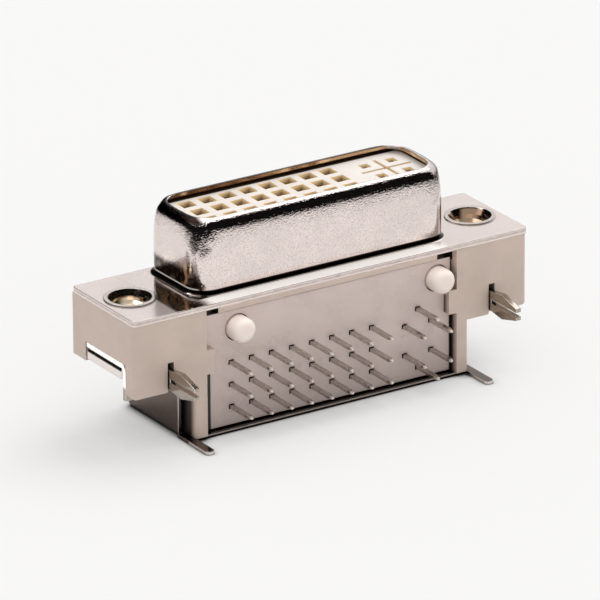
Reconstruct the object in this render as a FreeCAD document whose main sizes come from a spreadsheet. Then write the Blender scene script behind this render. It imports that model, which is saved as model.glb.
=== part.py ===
import FreeCAD, Part
import math
import os
import re
import Sketcher

# Right-angle DVI-I receptacle for a circuit board, standing on the underside of its rear shield.
# X runs along the connector, -Y faces the circuit board, +Z is the way a plug is pulled out.
# The origin is midway between the jackscrews, on their line, at the underside of the shield.

# Driving dimensions in millimetres: name, value, meaning
SIZES = [
    ("flange_length", 37.4, "overall length of the front flange"),
    ("flange_front", 4.7, "flange edge in front of the screw line"),
    ("flange_back", 4.7, "flange edge behind the screw line"),
    ("flange_top", 11.6, "height of the flange face"),
    ("flange_sheet", 0.48, "thickness of the flange"),
    ("flange_corner", 0.3, "corner radius of the flange"),
    ("nose_height", 6.175, "rim of the plug shell above the flange face"),
    ("nose_half_length", 12.1, "half the outer length of the plug shell"),
    ("nose_half_depth", 3.85, "half the outer depth of the plug shell"),
    ("nose_taper", 0.12, "how much shorter each end of the shell is on its front side"),
    ("nose_wall", 0.32, "drawn wall of the plug shell"),
    ("nose_corner", 1.75, "radius of the upright corners of the plug shell"),
    ("nose_round", 0.75, "radius that rolls the wall over into the rim"),
    ("nose_lip", 0.8, "how far the rim turns in from the outer wall"),
    ("nose_root", 0.35, "fillet between the plug shell and the flange"),
    ("mating_offset", 0.75, "centre of the plug shell behind the screw line"),
    ("mating_shift", 0.18, "centre of the plug shell to the right of the middle"),
    ("screw_half_spacing", 16.2, "jackscrew axis from the middle"),
    ("thread_radius", 1.42, "radius of the threaded bore of an insert"),
    ("mouth_radius", 1.78, "countersunk mouth of an insert"),
    ("mouth_depth", 0.5, "depth of the countersunk mouth"),
    ("barrel_radius", 1.84, "barrel of an insert"),
    ("collar_radius", 2.1, "swaged collar on top of the flange"),
    ("collar_height", 0.11, "height of the swaged collar"),
    ("shoulder_radius", 2.0, "shoulder of an insert below the shield ear"),
    ("shoulder_height", 0.4, "height of that shoulder"),
    ("barrel_clearance", 0.04, "gap round the barrel of an insert"),
    ("insulator_gap", 0.06, "gap between the insulator and the plug shell"),
    ("insulator_drop", 0.6, "insulator face below the rim"),
    ("insulator_round", 0.32, "edge radius of the insulator face"),
    ("carrier_end_gap", 0.1, "gap between the carrier block and the housing walls"),
    ("carrier_back_gap", 0.1, "gap between the carrier block and the back bridge"),
    ("carrier_bottom", 7.6, "underside of the carrier block"),
    ("pin_pitch", 1.905, "spacing of signal contacts along and across"),
    ("first_column", 9.15, "first signal column to the left of the middle"),
    ("analog_first", 16.51, "first analog column from the first signal column"),
    ("analog_second", 19.05, "second analog column from the first signal column"),
    ("analog_half_spacing", 1.27, "analog rows above and below the middle row"),
    ("cross_column", 17.78, "cross contact from the first signal column"),
    ("cross_tail_offset", 2.54, "cross contact tails above and below the middle row"),
    ("cross_stem_offset", 1.4, "cross contact stems before and behind its centre"),
    ("signal_mouth", 1.2, "side of a signal cavity at the face"),
    ("signal_cavity", 0.92, "side of a signal cavity below its funnel"),
    ("analog_mouth", 0.85, "side of an analog cavity at the face"),
    ("analog_cavity", 0.7, "side of an analog cavity below its funnel"),
    ("funnel_depth", 0.55, "depth of the lead-in funnels"),
    ("cavity_floor", 9.5, "height of the cavity floors"),
    ("cross_slot_length", 4.7, "length of the cross slot along the connector"),
    ("cross_slot_depth", 3.9, "length of the cross slot across the connector"),
    ("cross_slot_width", 0.3, "width of the cross slot at the face"),
    ("cross_roof", 0.7, "insulator left above the wider cross chamber"),
    ("cross_chamber_width", 0.7, "width of the chamber below the cross slot"),
    ("cross_chamber_length", 4.1, "length of the cross chamber along the connector"),
    ("cross_chamber_depth", 3.5, "length of the cross chamber across the connector"),
    ("tail_width", 0.4, "width of a contact tail"),
    ("tail_sheet", 0.28, "sheet thickness of the contacts"),
    ("tail_reach", 6.9, "tips of the tails ahead of the screw line"),
    ("tail_point", 0.45, "length of a tapered tail tip"),
    ("tail_point_width", 0.2, "width of the very tip of a tail"),
    ("tail_point_sheet", 0.14, "thickness of the very tip of a tail"),
    ("tail_row", 3.9, "height of the middle tail row"),
    ("tail_bend", 0.3, "inside bend radius of a tail"),
    ("stem_clearance", 0.03, "gap between a contact and the insulator round it"),
    ("fork_arm", 0.15, "width of one arm of a contact fork"),
    ("fork_bead", 0.06, "contact bead on the inside of a fork arm"),
    ("bead_drop", 0.8, "middle of the bead below the top of its arm"),
    ("fork_base", 1.2, "height of the solid base of a fork"),
    ("fork_drop", 0.9, "top of the forks below the insulator face"),
    ("cross_leaf", 0.14, "thickness of a leaf of the cross contact"),
    ("cross_leaf_start", 0.5, "inner end of a leaf from the centre of the cross"),
    ("cross_leaf_drop", 1.1, "top of the leaves below the insulator face"),
    ("cross_base", 0.4, "thickness of the base of the cross contact"),
    ("plate_front", 3.8, "face of the tail plate ahead of the screw line"),
    ("plate_sheet", 0.95, "thickness of the tail plate"),
    ("plate_gap", 0.12, "gap between the tail plate and the housing walls"),
    ("plate_bottom", 0.42, "lower edge of the tail plate"),
    ("plate_top", 10.28, "upper edge of the tail plate"),
    ("plate_round", 0.08, "edge radius of the tail plate's face"),
    ("tail_hole_clearance", 0.06, "gap round a tail in the tail plate"),
    ("peg_radius", 1.05, "radius of a locating peg"),
    ("peg_reach", 1.45, "peg beyond the face of the tail plate"),
    ("peg_round", 0.55, "edge radius of a peg"),
    ("peg_clearance", 0.1, "gap round a peg in the tail plate"),
    ("peg_height", 8.7, "height of the peg axes"),
    ("left_peg", 8.55, "left peg from the middle"),
    ("right_peg", 10.45, "right peg from the middle"),
    ("housing_front", 4.6, "front face of the housing ahead of the screw line"),
    ("wall_inner", 11.9, "inside of the housing walls from the middle"),
    ("wall_outer", 13.0, "outside of the housing walls from the middle"),
    ("wing_bottom", 4.8, "lower edge of a wing's front"),
    ("wing_front_sheet", 1.3, "thickness of a wing's front"),
    ("notch_top", 7.52, "top of the notch in a wing's side"),
    ("notch_back", 2.8, "back end of the notch"),
    ("leg_bottom", 5.85, "lower edge of a wing's back leg"),
    ("wing_round", 0.4, "radius of the upright front edges of a wing"),
    ("wing_edge_round", 0.3, "radius of the lower front edges of a wing"),
    ("column_round", 0.3, "radius of the outer front edge of a housing wall"),
    ("blade_slot_gap", 0.06, "gap each side of a boardlock blade in its slot"),
    ("blade_slot_top", 7.41, "top of the boardlock slot"),
    ("tab_reach", 0.75, "tabs that hold the tail plate, beyond the walls"),
    ("tab_bottom", 5.6, "lower edge of the tabs"),
    ("tab_top", 7.65, "upper edge of the tabs"),
    ("bridge_proud", 0.18, "front bridge ahead of the face of the tail plate"),
    ("bridge_bottom", 10.35, "lower edge of the front bridge"),
    ("bridge_gap", 0.1, "gap between the front bridge and the carrier block"),
    ("back_bridge_sheet", 0.75, "thickness of the back bridge"),
    ("window_length", 1.5, "length of a window beside the front bridge"),
    ("window_top", 10.95, "top of the windows beside the front bridge"),
    ("shield_sheet", 0.3, "thickness of the rear shield"),
    ("shield_side_gap", 0.3, "gap between the shield's sides and the housing walls"),
    ("shield_back_gap", 0.15, "gap between the shield's back and the housing"),
    ("shield_side_front", 2.85, "front edge of the shield's sides"),
    ("shield_bottom_front", 4.35, "front edge of the shield's bottom"),
    ("shield_bend", 0.5, "outside bend radius of the shield"),
    ("shield_leg_gap", 0.15, "gap between the shield's sides and the wings' back legs"),
    ("ear_front", 2.6, "front edge of an ear ahead of the screw line"),
    ("ear_back", 2.5, "back edge of an ear behind the screw line"),
    ("ear_lip", 0.7, "drop of an ear's outer lip below its underside"),
    ("ground_leg_width", 0.78, "width of a ground leg"),
    ("ground_leg_reach", 7.4, "tips of the ground legs ahead of the screw line"),
    ("ground_leg_outer", 13.7, "outer edge of a ground leg from the middle"),
    ("ground_leg_round", 0.34, "corner radius at the tip of a ground leg"),
    ("lock_sheet", 0.42, "thickness of a boardlock's plate"),
    ("lock_plate_inner", 13.95, "inner edge of a boardlock's plate"),
    ("lock_plate_back", 2.6, "back edge of a boardlock's plate"),
    ("lock_bend", 0.25, "inside bend radius of a boardlock"),
    ("lock_flap_bottom", 4.4, "lower edge of a boardlock's flap"),
    ("blade_centre", 15.28, "middle of a boardlock blade from the middle"),
    ("blade_sheet", 0.46, "thickness of a boardlock blade"),
    ("blade_height", 6.0, "height of the middle of a blade"),
    ("blade_half_width", 0.85, "half the width of a blade at the wing"),
    ("blade_barb", 0.2, "barb of a blade beyond its sides"),
    ("blade_shoulder", 6.4, "barbs of a blade ahead of the screw line"),
    ("blade_tip", 8.5, "tips of a blade ahead of the screw line"),
    ("blade_tip_half_width", 0.5, "half the width of a blade across its tips"),
    ("blade_slit", 0.38, "width of the slit between the prongs"),
    ("blade_slit_end", 4.9, "closed end of the slit ahead of the screw line"),
]

# Counts of the signal contacts
SIGNAL_COLUMNS = 8
SIGNAL_ROWS = 3

# Levels and widths that several pieces share, as formulas of the driving dimensions
FLANGE_UNDER = "(flange_top - flange_sheet)"
RIM_TOP = "(flange_top + nose_height)"
FACE = "(flange_top + nose_height - insulator_drop)"
EAR_TOP = "(notch_top - lock_sheet)"
EAR_UNDER = "(notch_top - lock_sheet - shield_sheet)"
BARREL_HOLE = "(barrel_radius + barrel_clearance)"
PLATE_BACK = "(plate_sheet - plate_front)"
HOUSING_BACK = "flange_back"
BRIDGE_BACK = "(flange_back - back_bridge_sheet)"
WING_END = "(flange_length / 2)"
SHIELD_INNER = "(wall_outer + shield_side_gap)"
SHIELD_OUTER = "(wall_outer + shield_side_gap + shield_sheet)"
SHIELD_BACK = "(flange_back + shield_back_gap + shield_sheet)"
CROSS_X = "(cross_column - first_column)"
STEM_SLOT_WIDTH = "(tail_width + 2 * stem_clearance)"
STEM_SLOT_SHEET = "(tail_sheet + 2 * stem_clearance)"

SHEET = "Sizes"
NAMES = {name for name, value, meaning in SIZES}

document = FreeCAD.newDocument("DviReceptacle")
sheet = document.addObject("Spreadsheet::Sheet", SHEET)
for line, (name, value, meaning) in enumerate(SIZES, 1):
    sheet.set(f"A{line}", meaning)
    sheet.set(f"B{line}", str(value))
    sheet.setAlias(f"B{line}", name)
document.recompute()


def expression(formula):
    """Write a formula of driving dimensions as an expression of the sheet."""
    return re.sub(r"[a-z_]+", lambda word: f"{SHEET}.{word[0]}" if word[0] in NAMES else word[0], formula)


def number(formula):
    """The present value of a formula of driving dimensions."""
    return float(sheet.evalExpression(expression(formula)))


def bind(item, name, formula):
    """Tie a property of a feature to a formula of driving dimensions."""
    item.setExpression(name, expression(formula))


# Sketches

PLANES = {"x": "YZ_Plane", "y": "XZ_Plane", "z": "XY_Plane"}


def new_body(label):
    """A body that becomes one piece of the connector."""
    body = document.addObject("PartDesign::Body", label)
    body.Label = label
    return body


def origin_part(body, role):
    """An axis or plane of a body's own origin."""
    return next(item for item in body.Origin.OriginFeatures if item.Role == role)


def new_sketch(body, name, axis, level):
    """An empty sketch square to an axis, at a level along that axis."""
    sketch = body.newObject("Sketcher::SketchObject", name)
    sketch.AttachmentSupport = [(origin_part(body, PLANES[axis]), "")]
    sketch.MapMode = "FlatFace"
    sign = "-" if axis == "y" else ""
    bind(sketch, "AttachmentOffset.Base.z", f"{sign}({level})")
    return sketch


def tie(sketch, kind, places, formula):
    """Add a dimension to a sketch and tie it to a formula."""
    constraint = sketch.addConstraint(Sketcher.Constraint(kind, *places, number(formula)))
    bind(sketch, f"Constraints[{constraint}]", formula)


def polygon(sketch, corners):
    """Draw a closed outline through corners, each a pair of formulas, and tie every corner."""
    points = [FreeCAD.Vector(number(across), number(up), 0) for across, up in corners]
    first = sketch.GeometryCount
    count = len(points)
    for index in range(count):
        sketch.addGeometry(Part.LineSegment(points[index], points[(index + 1) % count]), False)
    for index, (across, up) in enumerate(corners):
        following = first + (index + 1) % count
        sketch.addConstraint(Sketcher.Constraint("Coincident", first + index, 2, following, 1))
        tie(sketch, "DistanceX", (-1, 1, first + index, 1), across)
        tie(sketch, "DistanceY", (-1, 1, first + index, 1), up)


def rectangle(sketch, left, right, low, high):
    """Draw a rectangle between four formulas."""
    polygon(sketch, [(left, low), (right, low), (right, high), (left, high)])


def centred(sketch, across, back, length, depth):
    """Draw a rectangle about a centre."""
    rectangle(sketch, f"{across} - {length} / 2", f"{across} + {length} / 2",
              f"{back} - {depth} / 2", f"{back} + {depth} / 2")


def rounded_polygon(sketch, corners, radius):
    """Draw a closed outline anticlockwise round corners that are rounded with one radius."""
    points = [FreeCAD.Vector(number(across), number(up), 0) for across, up in corners]
    round_value = number(radius)
    count = len(points)
    arcs = []
    for index, corner in enumerate(points):
        before = (points[index - 1] - corner).normalize()
        after = (points[(index + 1) % count] - corner).normalize()
        half_angle = before.getAngle(after) / 2
        run = round_value / math.tan(half_angle)
        inward = (before + after).normalize()
        middle = corner + inward * (round_value / math.sin(half_angle) - round_value)
        arcs.append(Part.Arc(corner + before * run, middle, corner + after * run))
    first = sketch.GeometryCount
    for index, arc in enumerate(arcs):
        sketch.addGeometry(arc, False)
        following = arcs[(index + 1) % count]
        sketch.addGeometry(Part.LineSegment(arc.value(arc.LastParameter),
                                            following.value(following.FirstParameter)), False)
        sketch.addGeometry(Part.Point(points[index]), True)
    for index, (across, up) in enumerate(corners):
        arc = first + 3 * index
        line = arc + 1
        corner = arc + 2
        line_before = first + 3 * ((index - 1) % count) + 1
        tie(sketch, "DistanceX", (-1, 1, corner, 1), across)
        tie(sketch, "DistanceY", (-1, 1, corner, 1), up)
        sketch.addConstraint(Sketcher.Constraint("PointOnObject", corner, 1, line_before))
        sketch.addConstraint(Sketcher.Constraint("PointOnObject", corner, 1, line))
        sketch.addConstraint(Sketcher.Constraint("Tangent", line_before, 2, arc, 1))
        sketch.addConstraint(Sketcher.Constraint("Tangent", arc, 2, line, 1))
        tie(sketch, "Radius", (arc,), radius)


def circle(sketch, across, up, radius):
    """Draw a circle whose centre and radius are formulas."""
    centre = FreeCAD.Vector(number(across), number(up), 0)
    index = sketch.addGeometry(Part.Circle(centre, FreeCAD.Vector(0, 0, 1), number(radius)), False)
    tie(sketch, "DistanceX", (-1, 1, index, 3), across)
    tie(sketch, "DistanceY", (-1, 1, index, 3), up)
    tie(sketch, "Radius", (index,), radius)


# Features

def slab(body, name, axis, low, high, draw):
    """Add material between two levels of an axis, with the outline that draw makes."""
    sketch = new_sketch(body, name, axis, high if axis == "y" else low)
    draw(sketch)
    feature = body.newObject("PartDesign::Pad", f"{name}_pad")
    feature.Profile = sketch
    bind(feature, "Length", f"({high}) - ({low})")
    return feature


def cut(body, name, axis, low, high, draw):
    """Remove material between two levels of an axis, with the outline that draw makes."""
    sketch = new_sketch(body, name, axis, high if axis == "y" else low)
    draw(sketch)
    feature = body.newObject("PartDesign::Pocket", f"{name}_pocket")
    feature.Profile = sketch
    feature.Reversed = True
    bind(feature, "Length", f"({high}) - ({low})")
    return feature


def edges(feature, test):
    """Names of the edges of a feature whose ends and middle pass a test."""
    document.recompute()
    found = []
    for index, edge in enumerate(feature.Shape.Edges, 1):
        start = edge.valueAt(edge.FirstParameter)
        end = edge.valueAt(edge.LastParameter)
        if test(start, end, edge.BoundBox.Center):
            found.append(f"Edge{index}")
    return found


def soften(body, kind, feature, test, size):
    """Round or chamfer the edges of a feature that pass a test."""
    found = edges(feature, test)
    dressed = body.newObject(f"PartDesign::{kind}", f"{feature.Name}_{kind.lower()}")
    dressed.Base = (feature, found)
    bind(dressed, "Radius" if kind == "Fillet" else "Size", size)
    return dressed


def mirror(body, features):
    """Repeat features on the other side of the middle of the connector."""
    document.recompute()
    feature = body.newObject("PartDesign::Mirrored", f"{body.Name}_mirror")
    feature.Originals = features
    feature.MirrorPlane = (origin_part(body, "YZ_Plane"), [""])
    body.Tip = feature
    return feature


# Tests that pick edges by where they lie

def same(first, second):
    """Whether two coordinates are equal."""
    return abs(first - second) < 1e-4


def near(value, formula):
    """Whether a coordinate lies at a formula."""
    return same(value, number(formula))


def is_upright(start, end):
    """Whether an edge's ends lie one above the other."""
    return same(start.x, end.x) and same(start.y, end.y)


def runs_along(start, end):
    """Whether an edge's ends differ only in X."""
    return same(start.y, end.y) and same(start.z, end.z) and not same(start.x, end.x)


def runs_back(start, end):
    """Whether an edge's ends differ only in Y."""
    return same(start.x, end.x) and same(start.z, end.z) and not same(start.y, end.y)


# Places of the contacts: name, X, Y in the mating face and tail height, as formulas

def signal_places():
    """The signal contacts, back row first, each row from the left."""
    for row in range(SIGNAL_ROWS):
        step = 1 - row
        for column in range(SIGNAL_COLUMNS):
            yield (f"signal_contact_{row * SIGNAL_COLUMNS + column + 1:02d}",
                   f"({column} * pin_pitch - first_column)",
                   f"(mating_offset + {step} * pin_pitch)",
                   f"(tail_row - {step} * pin_pitch)")


def analog_places():
    """The four analog contacts round the cross."""
    columns = ("analog_first", "analog_second")
    for row, step in enumerate((1, -1)):
        for column, offset in enumerate(columns):
            yield (f"analog_contact_{row * len(columns) + column + 1}",
                   f"({offset} - first_column)",
                   f"(mating_offset + {step} * analog_half_spacing)",
                   f"(tail_row - {step} * analog_half_spacing)")


def cross_stems():
    """Y of each stem of the cross contact, with the height of its tail."""
    return (("(mating_offset + cross_stem_offset)", "(tail_row - cross_tail_offset)"),
            ("(mating_offset - cross_stem_offset)", "(tail_row + cross_tail_offset)"))


def cross(sketch, across, half_along, half_back, half_width):
    """Draw an upright cross about a centre in the middle row."""
    corners = [("-", half_width, "-", half_back), ("+", half_width, "-", half_back),
               ("+", half_width, "-", half_width), ("+", half_along, "-", half_width),
               ("+", half_along, "+", half_width), ("+", half_width, "+", half_width),
               ("+", half_width, "+", half_back), ("-", half_width, "+", half_back),
               ("-", half_width, "+", half_width), ("-", half_along, "+", half_width),
               ("-", half_along, "-", half_width), ("-", half_width, "-", half_width)]
    polygon(sketch, [(f"{across} {side} {x}", f"mating_offset {way} {y}")
                     for side, x, way, y in corners])


# Front shell

def nose_outline(sketch, inset):
    """The plug shell's outline, a little shorter on its front side, moved in by inset."""
    front = f"(mating_offset - nose_half_depth + {inset})"
    back = f"(mating_offset + nose_half_depth - {inset})"
    front_half = f"(nose_half_length - nose_taper - {inset})"
    back_half = f"(nose_half_length - {inset})"
    rounded_polygon(sketch, [(f"mating_shift - {front_half}", front), (f"mating_shift + {front_half}", front),
                             (f"mating_shift + {back_half}", back), (f"mating_shift - {back_half}", back)],
                    f"nose_corner - {inset}")


def in_nose(point):
    """Whether a point lies within the plug shell's outline."""
    return (abs(point.x - number("mating_shift")) < number("nose_half_length") + 1e-4
            and abs(point.y - number("mating_offset")) < number("nose_half_depth") + 1e-4)


def both_ends(sketch, radius):
    """Draw a circle round each jackscrew axis."""
    circle(sketch, "-screw_half_spacing", "0", radius)
    circle(sketch, "screw_half_spacing", "0", radius)


def build_front_shell():
    """Flange and plug shell drawn from one sheet, with its rim rolled in over the insulator."""
    body = new_body("front_shell")
    blank_back = "(flange_back + nose_root + nose_wall)"
    above = f"({RIM_TOP} + nose_wall)"
    below = f"({FLANGE_UNDER} - nose_wall)"
    ceiling = f"({RIM_TOP} - nose_wall)"
    slab(body, "flange", "z", FLANGE_UNDER, "flange_top",
         lambda s: rectangle(s, f"-{WING_END}", WING_END, "-flange_front", blank_back))
    nose = slab(body, "nose", "z", FLANGE_UNDER, RIM_TOP, lambda s: nose_outline(s, "0"))
    root = soften(body, "Fillet", nose,
                  lambda a, b, c: near(a.z, "flange_top") and near(b.z, "flange_top") and in_nose(c),
                  "nose_root")
    soften(body, "Fillet", root,
           lambda a, b, c: near(a.z, RIM_TOP) and near(b.z, RIM_TOP), "nose_round")
    inside = cut(body, "nose_inside", "z", FLANGE_UNDER, ceiling, lambda s: nose_outline(s, "nose_wall"))
    inside_rim = soften(body, "Fillet", inside,
                        lambda a, b, c: near(a.z, ceiling) and near(b.z, ceiling),
                        "nose_round - nose_wall")
    soften(body, "Fillet", inside_rim,
           lambda a, b, c: near(a.z, FLANGE_UNDER) and near(b.z, FLANGE_UNDER) and in_nose(c),
           "nose_root + nose_wall / 2")
    cut(body, "rim_opening", "z", f"({RIM_TOP} - nose_round)", above,
        lambda s: nose_outline(s, "nose_lip"))
    cut(body, "back_trim", "z", below, above,
        lambda s: rectangle(s, f"-{WING_END} - nose_wall", f"{WING_END} + nose_wall",
                            "flange_back", f"{blank_back} + nose_wall"))
    holes = cut(body, "insert_holes", "z", below, above, lambda s: both_ends(s, BARREL_HOLE))
    soften(body, "Fillet", holes,
           lambda a, b, c: is_upright(a, b) and near(abs(a.x), WING_END), "flange_corner")


# Insulator

def cavity(body, name, across, back, mouth, width):
    """Well, lead-in funnel and stem slot of one contact."""
    throat = f"({FACE} - funnel_depth)"
    well = cut(body, f"{name}_well", "z", "cavity_floor", throat,
               lambda s: centred(s, across, back, width, width))
    lower = new_sketch(body, f"{name}_throat", "z", throat)
    centred(lower, across, back, width, width)
    upper = new_sketch(body, f"{name}_mouth", "z", FACE)
    centred(upper, across, back, mouth, mouth)
    funnel = body.newObject("PartDesign::SubtractiveLoft", f"{name}_funnel")
    funnel.Profile = lower
    funnel.Sections = [upper]
    slot = cut(body, f"{name}_slot", "z", "carrier_bottom", "cavity_floor",
               lambda s: centred(s, across, back, STEM_SLOT_WIDTH, STEM_SLOT_SHEET))
    return [well, funnel, slot]


def grid(body, name, features):
    """Repeat features along the signal columns and towards the front rows."""
    document.recompute()
    pattern = body.newObject("PartDesign::LinearPattern", name)
    pattern.Originals = features
    pattern.Direction = (origin_part(body, "X_Axis"), [""])
    pattern.Mode = "Spacing"
    pattern.Occurrences = SIGNAL_COLUMNS
    bind(pattern, "Offset", "pin_pitch")
    pattern.Direction2 = (origin_part(body, "Y_Axis"), [""])
    pattern.Reversed2 = True
    pattern.Mode2 = "Spacing"
    pattern.Occurrences2 = SIGNAL_ROWS
    bind(pattern, "Offset2", "pin_pitch")
    pattern.Spacings2 = [-1.0] * (SIGNAL_ROWS - 1)
    body.Tip = pattern


def peg_circles(sketch, radius):
    """Draw a circle round each locating peg's axis."""
    circle(sketch, "-left_peg", "peg_height", radius)
    circle(sketch, "right_peg", "peg_height", radius)


def build_insulator():
    """Contact carrier whose tongue fills the plug shell, with pegs towards the circuit board."""
    body = new_body("insulator")
    inset = "(nose_wall + insulator_gap)"
    end = "(wall_inner - carrier_end_gap)"
    slab(body, "carrier", "z", "carrier_bottom", FLANGE_UNDER,
         lambda s: rectangle(s, f"-{end}", end, PLATE_BACK, f"{BRIDGE_BACK} - carrier_back_gap"))
    tongue = slab(body, "tongue", "z", FLANGE_UNDER, FACE, lambda s: nose_outline(s, inset))
    soften(body, "Fillet", tongue,
           lambda a, b, c: near(a.z, FACE) and near(b.z, FACE), "insulator_round")
    peg_end = "(-plate_front - peg_reach)"
    pegs = slab(body, "pegs", "y", peg_end, PLATE_BACK, lambda s: peg_circles(s, "peg_radius"))
    soften(body, "Fillet", pegs, lambda a, b, c: near(c.y, peg_end), "peg_round")
    name, across, back, height = next(signal_places())
    grid(body, "signal_cavities", cavity(body, "signal", across, back, "signal_mouth", "signal_cavity"))
    for name, across, back, height in analog_places():
        cavity(body, name, across, back, "analog_mouth", "analog_cavity")
    roof = f"({FACE} - cross_roof)"
    cut(body, "cross_slot", "z", roof, FACE,
        lambda s: cross(s, CROSS_X, "cross_slot_length / 2", "cross_slot_depth / 2",
                        "cross_slot_width / 2"))
    cut(body, "cross_chamber", "z", "cavity_floor", roof,
        lambda s: cross(s, CROSS_X, "cross_chamber_length / 2", "cross_chamber_depth / 2",
                        "cross_chamber_width / 2"))
    for index, (back, height) in enumerate(cross_stems()):
        cut(body, f"cross_stem_{index}", "z", "carrier_bottom", "cavity_floor",
            lambda s: centred(s, CROSS_X, back, STEM_SLOT_WIDTH, STEM_SLOT_SHEET))


# Contacts

def tail(body, name, back, height, top):
    """Strip bent from a stem that comes down from top to a tail with a tapered tip."""
    near_stem = f"({back} - tail_sheet / 2)"
    far_stem = f"({back} + tail_sheet / 2)"
    over = f"({height} + tail_sheet / 2)"
    under = f"({height} - tail_sheet / 2)"
    shoulder = "(tail_point - tail_reach)"
    strip = slab(body, f"{name}_strip", "x", "-tail_width / 2", "tail_width / 2",
                 lambda s: polygon(s, [(near_stem, top), (near_stem, over), (shoulder, over),
                                       (shoulder, under), (far_stem, under), (far_stem, top)]))
    inner = soften(body, "Fillet", strip,
                   lambda a, b, c: runs_along(a, b) and near(c.y, near_stem) and near(c.z, over),
                   "tail_bend")
    soften(body, "Fillet", inner,
           lambda a, b, c: runs_along(a, b) and near(c.y, far_stem) and near(c.z, under),
           "tail_bend + tail_sheet")
    full = new_sketch(body, f"{name}_shoulder", "y", shoulder)
    centred(full, "0", height, "tail_width", "tail_sheet")
    point = new_sketch(body, f"{name}_tip", "y", "-tail_reach")
    centred(point, "0", height, "tail_point_width", "tail_point_sheet")
    tip = body.newObject("PartDesign::AdditiveLoft", f"{name}_point")
    tip.Profile = full
    tip.Sections = [point]


def build_contact(label, across, back, height, width):
    """Blanked fork with two sprung arms over a bent tail, standing in its cavity."""
    body = new_body(label)
    bind(body, "Placement.Base.x", across)
    outer = f"({width} / 2 - stem_clearance)"
    inner = f"({outer} - fork_arm)"
    bead = f"({inner} - fork_bead)"
    base = "(cavity_floor + fork_base)"
    top = f"({FACE} - fork_drop)"
    bead_low = f"({top} - 2 * bead_drop)"
    right = [(outer, "cavity_floor"), (outer, top), (inner, top), (bead, f"{top} - bead_drop"),
             (inner, bead_low), (inner, base)]
    left = [(f"-{x}", z) for x, z in reversed(right)]
    tail(body, f"{label}_tail", back, height, base)
    slab(body, f"{label}_fork", "y", f"{back} - tail_sheet / 2", f"{back} + tail_sheet / 2",
         lambda s: polygon(s, right + left))


def build_cross_contact():
    """Cross-shaped ground contact: a base, a leaf along each arm and two tails."""
    body = new_body("cross_contact")
    bind(body, "Placement.Base.x", CROSS_X)
    outer = "(cross_chamber_width / 2 - stem_clearance)"
    inner = f"({outer} - cross_leaf)"
    end_along = "(cross_chamber_length / 2 - stem_clearance)"
    end_back = "(cross_chamber_depth / 2 - stem_clearance)"
    base_top = "(cavity_floor + cross_base)"
    leaf_top = f"({FACE} - cross_leaf_drop)"
    slab(body, "cross_base_plate", "z", "cavity_floor", base_top,
         lambda s: cross(s, "0", end_along, end_back, outer))

    def leaves(sketch):
        for way in ("-", "+"):
            ends = sorted((f"{way} cross_leaf_start", f"{way} {end_along}"), key=number)
            rectangle(sketch, ends[0], ends[1], f"mating_offset + {inner}", f"mating_offset + {outer}")
            backs = sorted((f"mating_offset {way} cross_leaf_start", f"mating_offset {way} {end_back}"),
                           key=number)
            rectangle(sketch, inner, outer, backs[0], backs[1])

    slab(body, "cross_leaves", "z", "cavity_floor", leaf_top, leaves)
    for index, (back, height) in enumerate(cross_stems()):
        tail(body, f"cross_tail_{index}", back, height, base_top)


# Tail plate

def build_tail_plate():
    """Plate that spaces the tails and closes the board side between the housing walls."""
    body = new_body("tail_plate")
    end = "(wall_inner - plate_gap)"
    plate = slab(body, "plate", "y", "-plate_front", PLATE_BACK,
                 lambda s: rectangle(s, f"-{end}", end, "plate_bottom", "plate_top"))
    soften(body, "Fillet", plate, lambda a, b, c: near(a.y, "-plate_front") and near(b.y, "-plate_front"),
           "plate_round")
    hole_width = "(tail_width + 2 * tail_hole_clearance)"
    hole_height = "(tail_sheet + 2 * tail_hole_clearance)"
    cut(body, "peg_holes", "y", "-plate_front", PLATE_BACK,
        lambda s: peg_circles(s, "peg_radius + peg_clearance"))

    def tail_holes(sketch):
        for name, across, back, height in (*signal_places(), *analog_places()):
            centred(sketch, across, height, hole_width, hole_height)
        for back, height in cross_stems():
            centred(sketch, CROSS_X, height, hole_width, hole_height)

    cut(body, "tail_holes", "y", "-plate_front", PLATE_BACK, tail_holes)


# Outer housing

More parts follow.
